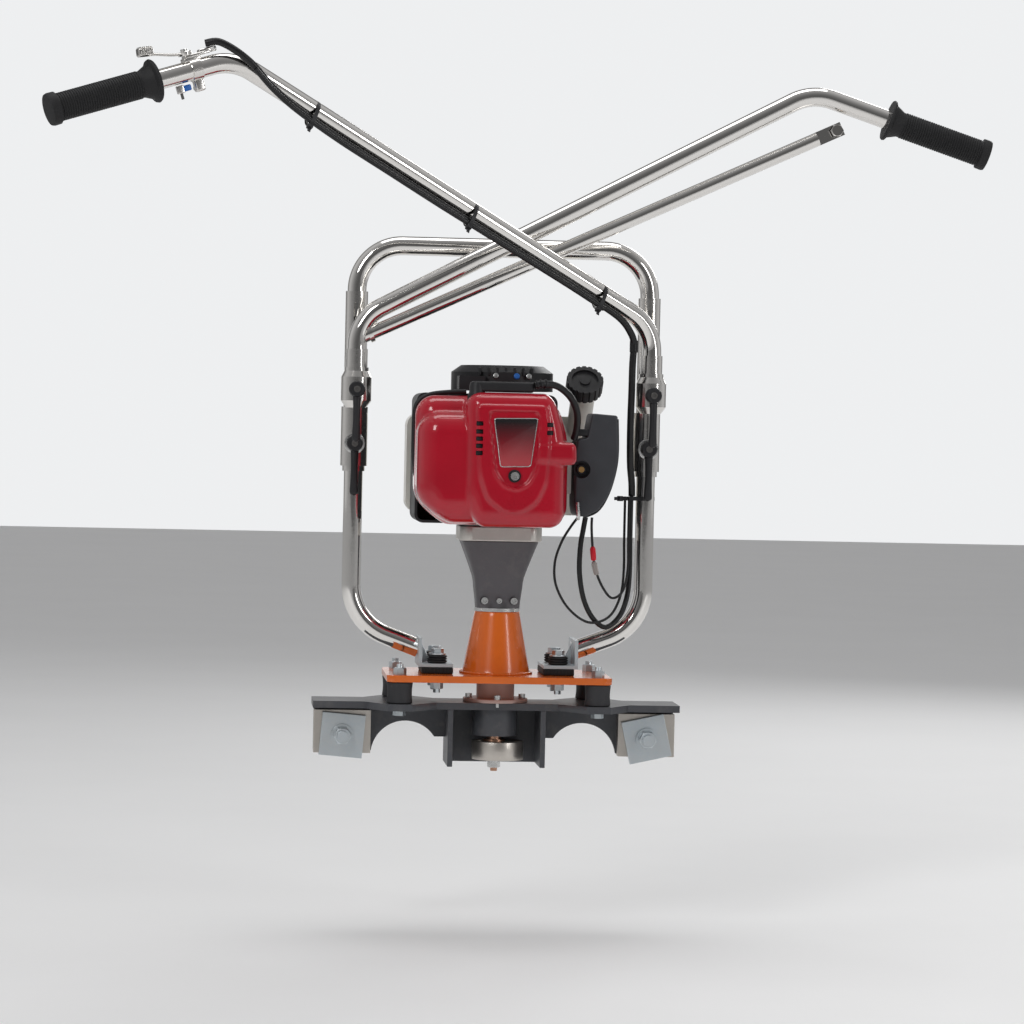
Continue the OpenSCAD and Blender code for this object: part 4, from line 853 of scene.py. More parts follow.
def makeCover():
    c = coverSizes
    base = corner("engine_cover")
    form = bmesh.new()
    for name in ("main", "lobe", "rear", "lug"):
        low, high, radius = c[name]
        softBlock(form, base + Vector(low) / 1000, base + Vector(high) / 1000, radius / 1000)
    cover = fused("cover", form, "red", c["voxel"], c["soften"])
    outer = roundCorners(c["outerU"], 7.0, 3)
    inner = roundCorners(c["innerU"], 5.0, 3)
    facingFront = [vertex.normal.y < -0.25 for vertex in cover.data.vertices]
    for vertex, front in zip(cover.data.vertices, facingFront):
        vertex.co = base + coverPoint((vertex.co - base) * 1000, front, outer, inner) / 1000
    holes = []
    for place in c["vents"]:
        holes.append(ventBlock("hole", base, place, c["ventDepth"], 0.0, 0.0008))
        liner = ventBlock("coverVent.%d.%d" % place, base, place, c["linerDepth"], 0.2, 0.0004)
        settle(liner, "frame", "black_casing")
    cut(cover, holes)
    autoSmooth(cover, 38.0)
    settle(cover, "frame", "red_cover", "engine_cover")
    makeBadge(base)
    cup = facing(base + Vector(c["screw"]) / 1000, (0, -1, 0))
    settle(turnedRing("coverScrewCup", c["screwCup"], "black", cup), "frame", "black_casing")
    route = [base + Vector((x, c["seamDepth"], z)) / 1000 for x, z in c["seam"]]
    seam = swept("coverSeam", smoothed(route, 6), c["seamRadius"], "black", 14)
    settle(seam, "frame", "black_casing")


def makeBadge(base):
    c = coverSizes
    looks["badge"] = badgeFade("badgeFade", *(base.z + z for z in c["badgeFade"]))
    depth = base.y + (c["front"] + c["sink"] - c["raise"]) / 1000 - 0.0006
    rounded = roundCorners([(base.x + x / 1000, base.z + z / 1000) for x, z in c["badge"]], 0.0035)
    place = Matrix.Translation((0, depth, 0))
    panel = slab("coverBadge", rounded, c["badgeThick"] / 1000, "badge", place, 0.0004)
    settle(panel, "frame", "red_cover")
    rim = [Vector((x, depth, z)) for x, z in rounded]
    settle(swept("coverBadgeRim", rim + rim[:1], 0.00055, "bright", 12), "frame", "red_cover")


makeCover()
print("cover: made")


# The air cleaner: a moulded case with a step at its top left, a screw well, and a clip under it

filterSizes = {
    "outline": [(19, 118), (48, 116), (50, 70), (46, 44), (38, 22), (28, 8), (14, 0.5), (3, 1),
                (0.5, 12), (0.5, 74), (3, 88), (14, 90)],
    "front": 2,
    "depth": 59,
    "edge": 0.003025,
    "well": (8, 54, 10),
    "clip": [(4, 0.5, 16), (4, -1.5, 12), (5, -1.8, 4), (5, 1, -1), (6, 12, -2)],
    "seam": [(50.6, 112), (51.6, 70), (47, 42), (39, 20), (29, 6), (14, -0.8)],
    "seamDepth": 26,
    "choke": ((1, 4, 92), (16, 34, 100), 2.0),
}


def makeFilter():
    f = filterSizes
    base = corner("air_cleaner")
    outline = [(base.x + x / 1000, base.z + z / 1000) for x, z in f["outline"]]
    outline = roundCorners(outline, 0.0030, 5)
    depth = Matrix.Translation((0, base.y + f["front"] / 1000, 0))
    case = slab("filterCase", outline, f["depth"] / 1000, "grey", depth, f["edge"], 4)
    x, z, radius = f["well"]
    hole = turned("hole", [(radius / 1000, -0.004), (radius / 1000, 0.012)], "grey",
                  facing(base + Vector((x, 0, z)) / 1000, (0, 1, 0)), 48)
    cut(case, [hole])
    autoSmooth(case, 32.0)
    settle(case, "frame", "filter_plastic", "air_cleaner")
    boss = turned("filterBoss", [(0.0062, 0), (0.0062, 0.006), (0.0050, 0.0075)], "black",
                  facing(base + Vector((x, 13, z)) / 1000, (0, -1, 0)), 40)
    settle(boss, "frame", "filter_plastic")
    place = facing(base + Vector((x, 6, z)) / 1000, (0, -1, 0))
    screw = capHead("filterScrew", 0.0068, 0.003, "brass", place)
    settle(screw, "frame", "screw_steel")
    clip = smoothed([base + Vector(point) / 1000 for point in f["clip"]], 5)
    settle(swept("filterClip", clip, 0.0022, "bright", 10), "frame", "screw_steel")
    seam = smoothed([base + Vector((x, f["seamDepth"], z)) / 1000 for x, z in f["seam"]], 6)
    settle(swept("filterSeam", seam, 0.0013, "black", 10), "frame", "filter_plastic")
    choke = blockPiece("chokeLever", Matrix.Translation(base), *f["choke"], "black")
    settle(choke, "frame", "filter_plastic")


makeFilter()
print("filter: made")


# The plug lead over the cover: boot, straight sleeve and the lead down to the coil

leadSizes = {
    "boot": [(0.0094, 0.0), (0.0108, 0.002), (0.0108, 0.006), (0.0090, 0.010), (0.0088, 0.017),
             (0.0078, 0.021), (0.0050, 0.0225)],
    "plug": (9, 13, -22),
    "bootDrop": (0, -0.5, -3),
    "sleeve": ((-4, -8.5, 7.5), (64, 6.5, 19.5), 3.2),
    "lead": [(26, -132, 374), (37, -130, 376), (54, -122, 373), (69, -114, 361), (77, -106, 345),
             (78, -98, 327), (76, -90, 315)],
    "leadRadius": 0.004,
    "ring": [(0.0040, 0), (0.0052, 0.0004), (0.0052, 0.0018), (0.0040, 0.0022)],
}


def makeLead():
    s = leadSizes
    low, high, _ = span("spark_plug")
    plug = Vector((low.x, low.y, high.z)) + Vector(s["plug"]) / 1000
    foot = Matrix.Translation(plug + Vector(s["bootDrop"]) / 1000)
    settle(turned("plugBoot", s["boot"], "black", foot, 48), "frame", "black_casing")
    form = bmesh.new()
    first, last, radius = s["sleeve"]
    softBlock(form, plug + Vector(first) / 1000, plug + Vector(last) / 1000, radius / 1000, 4)
    sleeve = fused("plugSleeve", form, "black", 0.0010, 3)
    settle(sleeve, "frame", "black_casing", "spark_plug")
    route = smoothed(metres(s["lead"]), 8)
    settle(swept("plugLead", route, s["leadRadius"], "sheath", 24), "frame", "black_casing")
    for k in range(3):
        here, there = route[2 + 3 * k], route[3 + 3 * k]
        ring = turnedRing("leadRing.%d" % k, s["ring"], "black", facing(here, there - here), 32)
        settle(ring, "frame", "black_casing")


makeLead()


# The starter's top: ribs, the stop switch and its small fittings

starterSizes = {
    "ribs": 7,
    "firstRib": -30,
    "ribPitch": 10,
    "rib": ((-1.2, 4, -12), (1.2, 30, -2.5), 0.8),
    "fittings": {"switchStud": (26, "bright"), "switchCap": (12, "blue"), "switchScrew": (-12, "bright")},
    "fitting": [(0.0036, 0), (0.0036, 0.003), (0.0030, 0.0042), (0.0012, 0.0046)],
    "fittingIn": 6.5,
    "fittingDown": 13,
    "lean": (0, -1, 0.25),
}


def makeStarterTop():
    s = starterSizes
    low, high, _ = span("recoil_housing")
    edge = Vector((0, low.y, high.z))
    for k in range(s["ribs"]):
        place = Matrix.Translation(edge + Vector((s["firstRib"] + s["ribPitch"] * k, 0, 0)) / 1000)
        rib = blockPiece("starterRib.%d" % k, place, *s["rib"], "black", 2)
        settle(rib, "frame", "black_casing")
    for name, (x, look) in s["fittings"].items():
        place = facing(edge + Vector((x, s["fittingIn"], -s["fittingDown"])) / 1000, s["lean"])
        settle(turned(name, s["fitting"], look, place, 28), "frame", "screw_steel")


makeStarterTop()
print("lead and starter top: made")


# Grips: a flared inner flange, close ribs and a rounded end

gripSizes = {"radius": 0.0145, "flange": 0.0240, "length": 0.125, "ribs": 34, "rib": 0.0008,
             "firstRib": 0.019, "cap": 0.012}


def makeGrips():
    g = gripSizes
    radius, flange = g["radius"], g["flange"]
    profile = [(tubeR + 0.0002, -0.0002), (flange - 0.001, 0.0), (flange, 0.0016), (flange - 0.0008, 0.0038),
               (flange - 0.0045, 0.0058), (radius + 0.0028, 0.0105), (radius + 0.0002, 0.0160)]
    start, end = g["firstRib"], g["length"] - g["cap"]
    pitch = (end - start) / g["ribs"]
    for k in range(g["ribs"]):
        z = start + k * pitch
        profile += [(radius, z), (radius + g["rib"], z + 0.25 * pitch),
                    (radius + g["rib"], z + 0.60 * pitch), (radius, z + 0.85 * pitch)]
    profile += [(radius + 0.0004, end + 0.001), (radius + 0.0032, end + 0.0022),
                (radius + 0.0034, end + 0.009), (radius + 0.0026, end + 0.0115),
                (radius - 0.001, end + 0.0119), (0.003, end + g["cap"])]
    for side in ("left", "right"):
        foot = handPlace(side, tubeSizes["handLen"] - g["length"])
        place = foot @ Matrix.Rotation(math.radians(90), 4, "Y")
        grip = turned("grip." + side, profile, "rubber", place, 84)
        settle(grip, "handlebar_" + side, "grip_rubber", "grip_" + side)


makeGrips()


# Clamp levers: a round hub with a cap screw, and an arm that flares a little and bends outwards

leverSizes = {
    "hub": [(0.0080, 0.0002), (0.0092, 0.0012), (0.0092, 0.0105), (0.0082, 0.0122), (0.0048, 0.0122)],
    "washer": [(0.0093, -0.0006), (0.0118, -0.0004), (0.0120, 0.0008), (0.0116, 0.0016), (0.0094, 0.0018)],
    "steps": 26,
    "sides": 20,
    "start": 0.001,
    "halfWide": 0.0052,
    "waist": 0.22,
    "halfThick": 0.0034,
    "taper": 0.18,
    "roundFrom": 0.93,
    "away": 0.0057,
    "bend": 0.0022,
    "screwOut": 0.0118,
}


# One lever's arm, hanging from its pivot and bending a little away from the sleeve
def leverArm(name, pivot, length):
    s = leverSizes
    form = bmesh.new()
    rings = []
    for k in range(s["steps"] + 1):
        t = k / s["steps"]
        past = max(0.0, (t - s["roundFrom"]) / (1 - s["roundFrom"]))
        close = math.sqrt(max(0.04, 1 - past ** 2))
        wide = s["halfWide"] * (1 - s["waist"] * math.sin(math.pi * t)) * close
        thick = s["halfThick"] * (1 - s["taper"] * t) * close
        away = s["away"] + s["bend"] * math.sin(math.pi * min(1, t * 1.1))
        middle = pivot - Vector((0, away, length * t - s["start"]))
        rings.append(ringOf(form, s["sides"], lambda a: middle + Vector(
            (wide * math.cos(a), thick * math.sin(a), 0))))
    skinned(form, rings)
    return fromBmesh(name, form, "lever")


def makeLevers():
    s = leverSizes
    for row, joint in (("upper", "swivel_lever"), ("lower", "height_lever")):
        for side in ("left", "right"):
            node = "lever_%s_%s" % (row, side)
            body = "%s_%s" % (joint, side)
            low, _, _ = span(node)
            pivot = Vector(joints[body + "_turn"]["pos_m"])
            out = facing(pivot, (0, -1, 0))
            tail = "%s.%s" % (row, side)
            settle(leverArm("leverArm." + tail, pivot, pivot.z - low.z), body, "grip_rubber", node)
            settle(turned("leverHub." + tail, s["hub"], "lever", out, 48), body, "grip_rubber")
            seat = facing(pivot + Vector((0, -s["screwOut"], 0)), (0, -1, 0))
            settle(capHead("leverScrew." + tail, 0.0076, 0.0016, "dark", seat), body, "screw_steel")
            if row == "lower":
                ring = turnedRing("leverWasher." + side, s["washer"], "bright", out, 48)
                settle(ring, "upper_frame", "chrome")


makeLevers()
print("grips and levers: made")


# The throttle: a strap round the bar with its bolt, a cable block on top, and the thumb lever

throttleSizes = {
    "along": 0.046,
    "strap": (0.012, 0.0016),
    "blocks": {
        "throttleEar": (-1, (-5.5, -5, -13), (5.5, 5, 0.5), 2.4, "satinChrome"),
        "throttleSaddle": (1, (-9, -7, -1.5), (11, 7, 3.5), 1.6, "satinChrome"),
        "throttleBlock": (1, (-21, -6.5, 2.5), (9, 6.5, 6), 1.4, "satinChrome"),
        "throttleGuide": (1, (-24, -4.2, 3.2), (-9, 4.2, 8.8), 2.0, "satinChrome"),
        "throttleStop": (-1, (18, -3.2, -10), (26, 3.2, -1), 1.2, "satinChrome"),
        "switchBody": (-1, (10, -3.6, -9), (19, 3.6, -2.4), 1.5, "blue"),
    },
    "boltDrop": 0.0085,
    "pin": [(0.0013, -0.006), (0.0016, -0.0055), (0.0016, 0.004)],
    "arm": [(0, 0), (12, 2.0), (24, 5.2), (34, 8.2), (46, 10.0)],
    "armHalf": 5.6,
    "armTaper": 0.045,
    "armLift": 1.8,
    "armThick": 1.7,
    "padTilt": math.radians(9),
    "pad": ((0, -6.5, 0), (17, 6.5, 10.5), 2.8),
    "ribs": 6,
    "ribPitch": 2.3,
    "rib": ((2.2, -7.0, 1.5), (3.4, 7.0, 10.9), 0.5),
    "hub": [(0.0074, 0), (0.0076, 0.0008), (0.0076, 0.0038), (0.0068, 0.0046), (0.0042, 0.0046)],
}


def strapBand(name, place, radius, width, thick, look):
    profile = [(radius, -width / 2), (radius + thick, -width / 2 + 0.0002),
               (radius + thick, width / 2 - 0.0002), (radius, width / 2)]
    return turnedRing(name, profile, look, place @ Matrix.Rotation(math.radians(90), 4, "Y"), 64)


def makeThrottleClamp(place):
    s = throttleSizes
    body = "handlebar_left"
    band = strapBand("throttleStrap", place, tubeR, *s["strap"], "satinChrome")
    settle(band, body, "lever_alloy", "throttle_clamp")
    for name, (side, low, high, radius, look) in s["blocks"].items():
        seat = place @ Matrix.Translation((0, 0, side * tubeR))
        settle(blockPiece(name, seat, low, high, radius, look), body, "lever_alloy")
    quarter = math.radians(90)
    bolt = place @ Matrix.Translation((0, 0, -tubeR - s["boltDrop"])) @ Matrix.Rotation(quarter, 4, "X")
    head = capHead("throttleBolt", 0.0080, 0.0050, "bright", bolt @ Matrix.Translation((0, 0, 0.0050)))
    settle(head, body, "screw_steel")
    barrel = place @ Matrix.Translation((-0.030, 0, tubeR + 0.006)) @ Matrix.Rotation(quarter, 4, "Y")
    rings = [(0.0022, 0), (0.0034, 0.0004)]
    for k in range(5):
        rings += [(0.0034, 0.001 + 0.0016 * k), (0.0029, 0.0018 + 0.0016 * k)]
    rings += [(0.0034, 0.0092), (0.0026, 0.0100)]
    settle(turned("throttleBarrel", rings, "bright", barrel, 32), body, "lever_alloy")
    pin = place @ Matrix.Translation((0.022, 0, -tubeR - 0.0105))
    settle(turned("throttlePin", s["pin"], "dark", pin, 20), body, "screw_steel")


def makeThrottleLever(lever):
    s = throttleSizes
    form = bmesh.new()
    rings = []
    for point in smoothed([(x, 0, z) for x, z in s["arm"]], 6):
        half = s["armHalf"] - s["armTaper"] * point.x
        middle = point + Vector((0, 0, s["armLift"]))
        rings.append(ringOf(form, 20, lambda a: lever @ (
            (middle + Vector((0, half * math.cos(a), s["armThick"] * math.sin(a)))) / 1000)))
    skinned(form, rings)
    settle(fromBmesh("throttleArm", form, "satinChrome"), "throttle", "lever_alloy", "throttle_lever")
    tilt = lever @ Matrix.Translation((0.036, 0, 0.0085)) @ Matrix.Rotation(-s["padTilt"], 4, "Y")
    settle(blockPiece("throttlePad", tilt, *s["pad"], "satinChrome", 8), "throttle", "lever_alloy")
    for k in range(s["ribs"]):
        step = tilt @ Matrix.Translation((s["ribPitch"] * k / 1000, 0, 0))
        settle(blockPiece("throttleRib.%d" % k, step, *s["rib"], "satinChrome", 4), "throttle", "lever_alloy")
    settle(turned("throttleHub", s["hub"], "satinChrome", lever, 44), "throttle", "lever_alloy")
    nut = capHead("throttleNut", 0.0078, 0.0030, "bright", lever @ Matrix.Translation((0, 0, 0.0044)))
    settle(nut, "throttle", "screw_steel")


def makeThrottle():
    place = handPlace("left", throttleSizes["along"])
    makeThrottleClamp(place)
    makeThrottleLever(place @ Matrix.Translation((0.006, 0, tubeR + 0.0062)))


makeThrottle()
print("throttle: made")


# Cables. The routes repeat the part's own points.

cableSizes = {
    "sheath": 0.004,
    "thick": 0.003,
    "wire": 0.0015,
    "arm": [(553, 2, 735), (540, 8, 737), (522, 14, 728), (502, 17, 713), (480, 15, 692), (450, 11, 671),
            (400, 8, 642), (340, 8, 610), (280, 8, 578), (220, 8, 547), (160, 8, 516), (110, 8, 490),
            (70, 9, 468), (45, 10, 452), (32, 10, 436), (27, 9, 424)],
    "drop": [(147, -49, 421), (146, -48, 400), (146, -46, 370), (146, -42, 340), (147, -34, 310),
             (149, -24, 285), (152, -16, 265), (153, -12, 250)],
    "thickRoute": [(152, -12, 249), (152, -12, 200), (152, -14, 160), (149, -18, 132), (140, -24, 110),
                   (124, -32, 98), (108, -40, 108), (96, -46, 130), (90, -50, 160), (90, -52, 190),
                   (93, -53, 212), (95, -54, 225)],
    "thinRoute": [(145, -14, 249), (145, -14, 200), (145, -16, 160), (140, -26, 132), (126, -38, 110),
                  (102, -46, 104), (78, -50, 120), (63, -52, 146), (61, -52, 172), (68, -54, 196),
                  (78, -57, 214), (86, -58, 225)],
    "linkRoute": [(149, -20, 249), (149, -20, 200), (149, -22, 165), (143, -28, 140), (130, -36, 132),
                  (118, -44, 144), (108, -50, 166), (104, -54, 190), (102, -57, 212), (102, -58, 225)],
    "armTies": [0.068, 0.232, 0.425],
    "tieAside": (0, 0.55, -0.84),
    "tieReach": 0.0255,
    "legTieAt": 0.2465,
    "legTieAside": (-0.026, -0.015, 0),
    "legTieReach": 0.0345,
    "armBlendEnd": 11,
    "boot": [(0.0041, 0.0), (0.0049, 0.001), (0.0049, 0.013), (0.0041, 0.014)],
    "bootDrop": 0.006,
    "besideArm": (5.5, -4.2),
    "plugs": {"linkPlugClear": (60, "clear"), "linkPlugRed": (67, "redPlug")},
    "plug": [(0.0016, -0.0075), (0.0030, -0.0068), (0.0033, -0.002), (0.0033, 0.006), (0.0022, 0.0085),
             (0.0016, 0.009)],
    "wires": {"thickCable": ("thickRoute", "thick", ["engine_cables"]), "thinWire": ("thinRoute", "wire", []),
              "linkWire": ("linkRoute", "wire", [])},
}


tieThick = 0.0011


# A cable tie drawn round a tube and what runs beside it, which lies the given way from the tube's axis
def tieBand(name, centre, along, aside, reach, body, look="black", width=0.0042):
    along = Vector(along).normalized()
    aside = Vector(aside)
    aside = (aside - along * aside.dot(along)).normalized()
    across = along.cross(aside)
    near = tubeR + 0.0003
    half = (near + reach) / 2
    middle = centre + aside * (reach - near) / 2

    # the band hugs the tube on one side and narrows over what it holds
    def bandPoint(a, grow, level):
        squeeze = near if math.cos(a) < 0 else near * (1 - 0.35 * math.cos(a))
        return (middle + aside * (half + grow) * math.cos(a) + across * (squeeze + grow) * math.sin(a)
                + along * level)

    form = bmesh.new()
    section = ((0, -width / 2), (tieThick, -width / 2), (tieThick, width / 2), (0, width / 2))
    rings = [ringOf(form, 56, lambda a: bandPoint(a, grow, level)) for grow, level in section]
    skinned(form, rings, closed=True)
    settle(autoSmooth(fromBmesh(name, form, look)), body, "cable_sheath")
    place = Matrix((aside, across, along)).transposed().to_4x4()
    place.translation = middle + aside * (half + 0.001)
    head = blockPiece(name + ".head", place, (-2, -3.2, -3), (3.2, 3.2, 3), 0.8, look, 2)
    settle(head, body, "cable_sheath")
    tail = blockPiece(name + ".tail", place, (2, -0.6, -1.9), (9, 0.6, 1.9), 0.4, look, 2)
    settle(tail, body, "cable_sheath")


def makeCables():
    c = cableSizes
    left = armPlace["left"]
    onArm = metres(c["arm"], left)
    arm = swept("armCable", smoothed(onArm, 6), c["sheath"], "sheath", 24)
    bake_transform(arm)
    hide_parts("arm_cable")
    onLeg = metres(c["drop"])
    boot = facing(onLeg[0] - Vector((0, 0, c["bootDrop"])), Vector((0, 0, 1)))
    settle(turned("cableBoot", c["boot"], "sheath", boot, 28), "upper_frame", "cable_sheath")
    second = [(x, y + c["besideArm"][0], z + c["besideArm"][1]) for x, y, z in c["arm"][3:13]]
    wire = swept("armWire", smoothed(metres(second, left), 6), c["thick"], "sheath", 20)
    settle(wire, "handlebar_left", "cable_sheath")
    rise = math.tan(tubeSizes["armRise"])
    turn = left.to_3x3()
    for k, along in enumerate(c["armTies"]):
        centre = left @ Vector((along, 0, tubeSizes["elbowZ"] + along * rise))
        tieBand("armTie.%d" % k, centre, turn @ Vector((1, 0, rise)), turn @ Vector(c["tieAside"]),
                c["tieReach"], "handlebar_left")
    drop = swept("dropCable", smoothed(onLeg, 10), c["sheath"], "sheath", 24)
    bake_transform(drop)
    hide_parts("drop_cable")
    for name, (route, radius, stoodFor) in c["wires"].items():
        piece = swept(name, smoothed(metres(c[route]), 10), c[radius], "sheath", 20)
        settle(piece, "frame", "cable_sheath", *stoodFor)
    onUpright = Vector((uprightX, 0, c["legTieAt"]))
    tieBand("legTie", onUpright, (0, 0, 1), c["legTieAside"], c["legTieReach"], "frame")
    link = smoothed(metres(c["linkRoute"]), 10)
    for name, (index, look) in c["plugs"].items():
        place = facing(link[index], link[index + 1] - link[index])
        settle(turned(name, c["plug"], look, place, 28), "frame", "cable_sheath")


makeCables()
print("cables: made")


# The neck between cone and engine: square in plan with rounded corners, flaring to its top

neckSizes = {
    "levels": [0, 0.004, 0.03, 0.10, 0.20, 0.30, 0.38, 0.46, 0.54, 0.64, 0.74, 0.84, 0.92, 0.97, 0.985, 1.0],
    "waist": 0.41,
    "waistWidth": 56.0,
    "foot": 50.0,
    "top": 89.0,
    "flare": 1.08,
    "edge": 1.6,
    "depthShare": 0.45,
    "corner": 0.17,
    "wells": {-17: 4.8, 0: 3.4, 17: 4.8},
    "wellRise": 0.009,
    "wellFront": -0.063,
    "wellBack": -0.019,
}


def neckWidth(share):
    n = neckSizes
    if share < n["waist"]:
        width = n["foot"] + (n["waistWidth"] - n["foot"]) * smoothStep(0.0, n["waist"], share)
    else:
        past = (share - n["waist"]) / (1 - n["waist"])
        width = n["waistWidth"] + (n["top"] - n["waistWidth"]) * past ** n["flare"]
    return width - n["edge"] if share in (0, 1.0) else width


def makeNeck():
    n = neckSizes
    low, high, _ = span("clutch_housing")
    form = bmesh.new()
    rings = []
    for share in n["levels"]:
        width = neckWidth(share)
        half = (width / 2000, width * n["depthShare"] / 1000)
        outline = roundedOutline((-half[0], -half[1]), half, width * n["corner"] / 1000, 8)
        rings.append([form.verts.new((x, y, low.z + share * (high.z - low.z))) for x, y in outline])
    skinned(form, rings)
    neck = fromBmesh("neck", form, "neck")
    wells = []
    for x, radius in n["wells"].items():
        place = facing(Vector((x / 1000, n["wellFront"], low.z + n["wellRise"])), (0, 1, 0))
        profile = [(radius / 1000, 0.0), (radius / 1000, n["wellBack"] - n["wellFront"])]
        wells.append(turned("hole", profile, "neck", place, 40))
    cut(neck, wells)
    autoSmooth(neck, 30.0)
    settle(neck, "frame", "neck_paint", "clutch_housing")


coneSizes = {
    "footIn": 0.0015,
    "topIn": 0.0005,
    "steps": 20,
    "weldSteps": 220,
    "weldSides": 10,
    "ripples": 46,
    "ripple": 0.14,
    "rough": 0.10,
    "weldOut": (0.0012, 0.0017),
    "weldUp": (0.0010, 0.0016),
}


def makeCone():
    c = coneSizes
    low, high, _ = span("drive_cone")
    ringLow, ringHigh, _ = span("cone_ring")
    foot = (high.x - low.x) / 2 - c["footIn"]
    top = (ringHigh.x - ringLow.x) / 2 - c["topIn"]
    height = high.z - low.z
    profile = [(foot - 0.006, 0.0002), (foot + 0.0010, 0.0002), (foot, 0.0012)]
    for k in range(1, c["steps"]):
        share = k / c["steps"]
        profile.append((foot + (top - foot) * share, height * share))
    profile += [(top, height - 0.0008), (top - 0.0008, height)]
    cone = turned("cone", profile, "orange", Matrix.Translation((0, 0, low.z)), 120)
    settle(cone, "frame", "orange_paint", "drive_cone")
    form = bmesh.new()
    rings = []
    for k in range(c["weldSteps"]):
        a = 2 * math.pi * k / c["weldSteps"]
        swell = 1 + c["ripple"] * math.sin(a * c["ripples"]) + c["rough"] * random.uniform(-1, 1)
        rings.append(ringOf(form, c["weldSides"], lambda b: onCircle(
            foot + c["weldOut"][0] + c["weldOut"][1] * swell * math.cos(b), a,
            low.z + c["weldUp"][0] + c["weldUp"][1] * swell * math.sin(b))))
    skinned(form, rings, closed=True)
    settle(fromBmesh("coneWeld", form, "orange"), "frame", "orange_paint")


makeNeck()
makeCone()


# Rubber: barrel-shaped buffers under the plate, ridged pads and bushes at the feet

rubberSizes = {
    "bufferRadius": 0.015,
    "waist": 0.055,
    "padEdge": 1.6,
    "flatPad": 0.04,
    "ribs": 9,
    "ribHalf": (1.1, 0.7),
    "ribRound": 0.6,
    "ribClear": 1.0,
    "rings": 3,
    "ringDeep": 0.0016,
    "ringClear": 0.0016,
}


# The lowest and highest corners of each of a node's separate solids
def looseBoxes(node):
    form = bmesh.new()
    form.from_mesh(nodes[node].data)
    bmesh.ops.remove_doubles(form, verts=form.verts, dist=1e-6)
    seen = set()
    found = []
    for vertex in form.verts:
        if vertex in seen:
            continue
        group, stack = [], [vertex]
        seen.add(vertex)
        while stack:
            here = stack.pop()
            group.append(here.co.copy())
            for edge in here.link_edges:
                other = edge.other_vert(here)
                if other not in seen:
                    seen.add(other)
                    stack.append(other)
        low = Vector(min(p[i] for p in group) for i in range(3))
        high = Vector(max(p[i] for p in group) for i in range(3))
        found.append((low, high))
    form.free()
    return found


def makeRubber():
    r = rubberSizes
    low, high, _ = span("rubber_buffers")
    radius = r["bufferRadius"]
    height = high.z - low.z
    profile = [(radius * 0.90, 0.0), (radius, 0.0012)]
    for k in range(11):
        narrow = r["waist"] * math.sin(math.pi * k / 10)
        profile.append((radius * (1.0 - narrow), 0.0018 + (height - 0.0036) * k / 10))
    profile += [(radius, height - 0.0012), (radius * 0.90, height)]
    for k, (first, last) in enumerate(looseBoxes("rubber_buffers")):
        place = Matrix.Translation(((first.x + last.x) / 2, (first.y + last.y) / 2, low.z))
        stoodFor = [] if k else ["rubber_buffers"]
        settle(turned("buffer.%d" % k, profile, "buffer", place, 64), "frame", "buffer_rubber", *stoodFor)


# A flat pad with short ribs along its two long edges
def flatPad(index, low, high, stoodFor):
    r = rubberSizes
    size = high - low
    place = Matrix.Translation(low)
    pad = blockPiece("footPad.%d" % index, place, (0, 0, 0), size * 1000, r["padEdge"], "rubber")
    settle(pad, "frame", "buffer_rubber", *stoodFor)
    wide, deep = r["ribHalf"]
    for k in range(r["ribs"]):
        x = low.x + (k + 0.5) * size.x / r["ribs"]
        for y, sign in ((low.y, -1), (high.y, 1)):
            rib = blockPiece("footRib.%d.%d.%d" % (index, k, sign), Matrix.Translation((x, y, low.z)),
                             (-wide, -deep, r["ribClear"]), (wide, deep, size.z * 1000 - r["ribClear"]),
                             r["ribRound"], "rubber")
            settle(rib, "frame", "buffer_rubber")


# A round bush with a groove under each of its rings
def roundBush(index, low, high):
    r = rubberSizes
    size = high - low
    radius = size.x / 2
    step = (size.z - r["ringClear"]) / r["rings"]
    profile = [(radius - 0.0030, 0.0), (radius - 0.0010, 0.0006)]
    for k in range(r["rings"]):
        z = 0.0012 + k * step
        profile += [(radius, z + 0.2 * step), (radius, z + 0.6 * step),
                    (radius - r["ringDeep"], z + 0.9 * step)]
    profile += [(radius - 0.0030, size.z)]
    centre = (low + high) / 2
    place = Matrix.Translation((centre.x, centre.y, low.z))
    settle(turned("footBush.%d" % index, profile, "rubber", place, 56), "frame", "buffer_rubber")


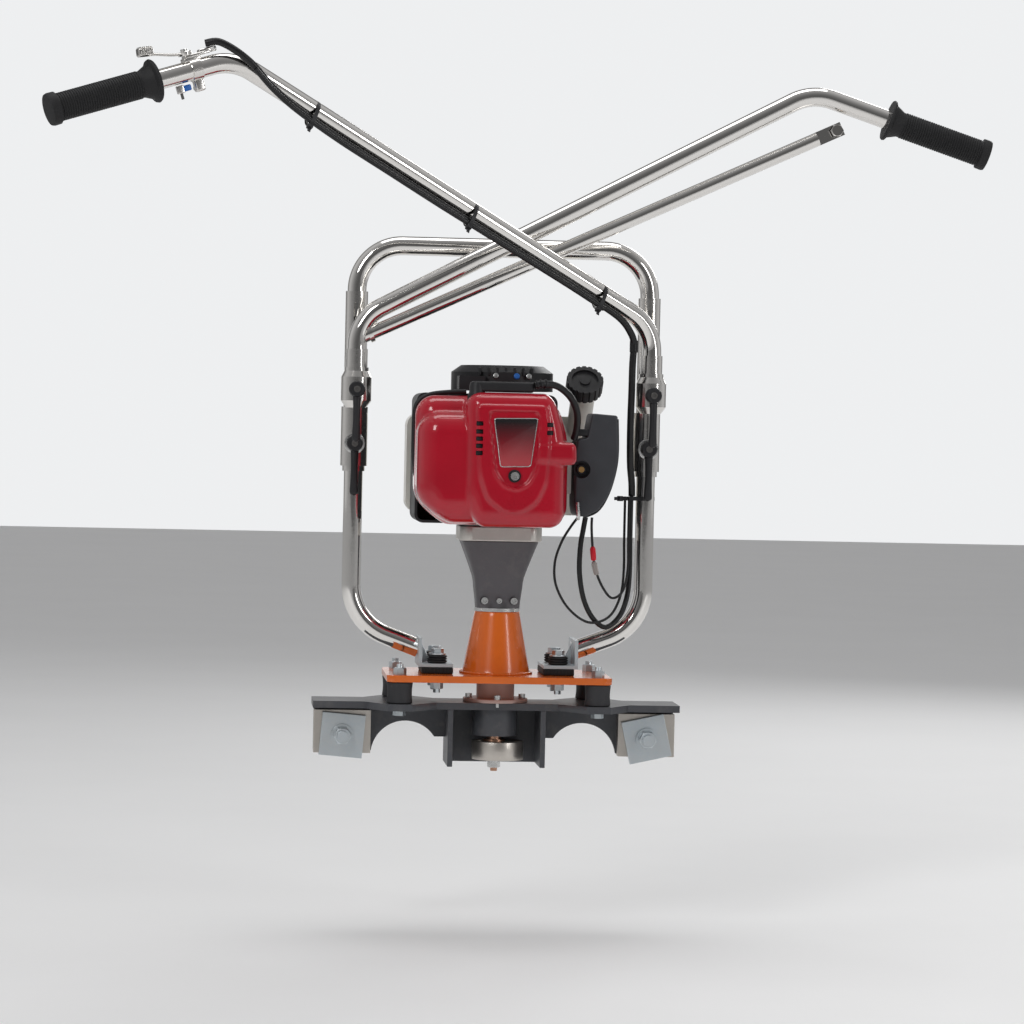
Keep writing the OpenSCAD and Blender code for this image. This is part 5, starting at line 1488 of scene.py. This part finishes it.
def makePads():
    stoodFor = ["foot_pads"]
    for index, (low, high) in enumerate(looseBoxes("foot_pads")):
        if high.y - low.y > rubberSizes["flatPad"]:
            flatPad(index, low, high, stoodFor)
            stoodFor = []
        else:
            roundBush(index, low, high)


makeRubber()
makePads()
print("neck, cone and rubber: made")


# Finishes for every CAD node that still shows, with their sharp edges rounded for the light

nodeLooks = {
    "slate_paint": "slate", "primed_flange": "primer", "bearing_steel": "bright", "screw_steel": "bright",
    "pad_steel": "brushed", "zinc_plate": "zinc", "buffer_rubber": "buffer", "orange_paint": "orange",
    "neck_paint": "neck", "cast_aluminium": "alu", "chrome": "chrome", "red_cover": "red",
    "black_casing": "black", "tank_plastic": "tank", "filter_plastic": "grey", "muffler_steel": "burnt",
    "machined_steel": "turned", "coupling_steel": "turned", "grip_rubber": "rubber",
    "lever_alloy": "satinChrome", "cable_sheath": "sheath",
}
special = {
    "eccentric_shaft": "copper", "rotor_nut": "bright", "rotor_housing": "slate",
    "column_left": "satinChrome", "column_right": "satinChrome", "foot_plates": "zinc",
    "eccentric_weight": "brushed", "cone_ring": "bright", "shaft_coupling": "turned",
}
edgeWidths = {
    "bracket_plate": 0.0009, "bracket_channel": 0.0008, "bracket_webs": 0.0006, "mount_plate": 0.0009,
    "beam_pads": 0.0006, "clamp_plate_left": 0.0005, "clamp_plate_right": 0.0005, "engine_flange": 0.0014,
    "foot_plates": 0.0005, "clamp_bolts": 0.0005, "plate_fasteners": 0.0004, "eccentric_weight": 0.0008,
    "bearing_flange": 0.0005,
}


def finishNodes():
    slots = {row["node"]: row["material_slot"] for row in frame["record"]["subparts"]}
    for name, thing in nodes.items():
        look = special.get(name, nodeLooks.get(slots[name], "black"))
        thing.data.materials.clear()
        thing.data.materials.append(looks[look])
        if name in edgeWidths:
            weld = thing.modifiers.new("weld", "WELD")
            weld.merge_threshold = 1e-6
            bevel = thing.modifiers.new("edge", "BEVEL")
            bevel.width = edgeWidths[name]
            bevel.segments = 2
            bevel.limit_method = "ANGLE"
            bevel.angle_limit = math.radians(40)
            bevel.harden_normals = False


finishNodes()
print("nodes: finished")
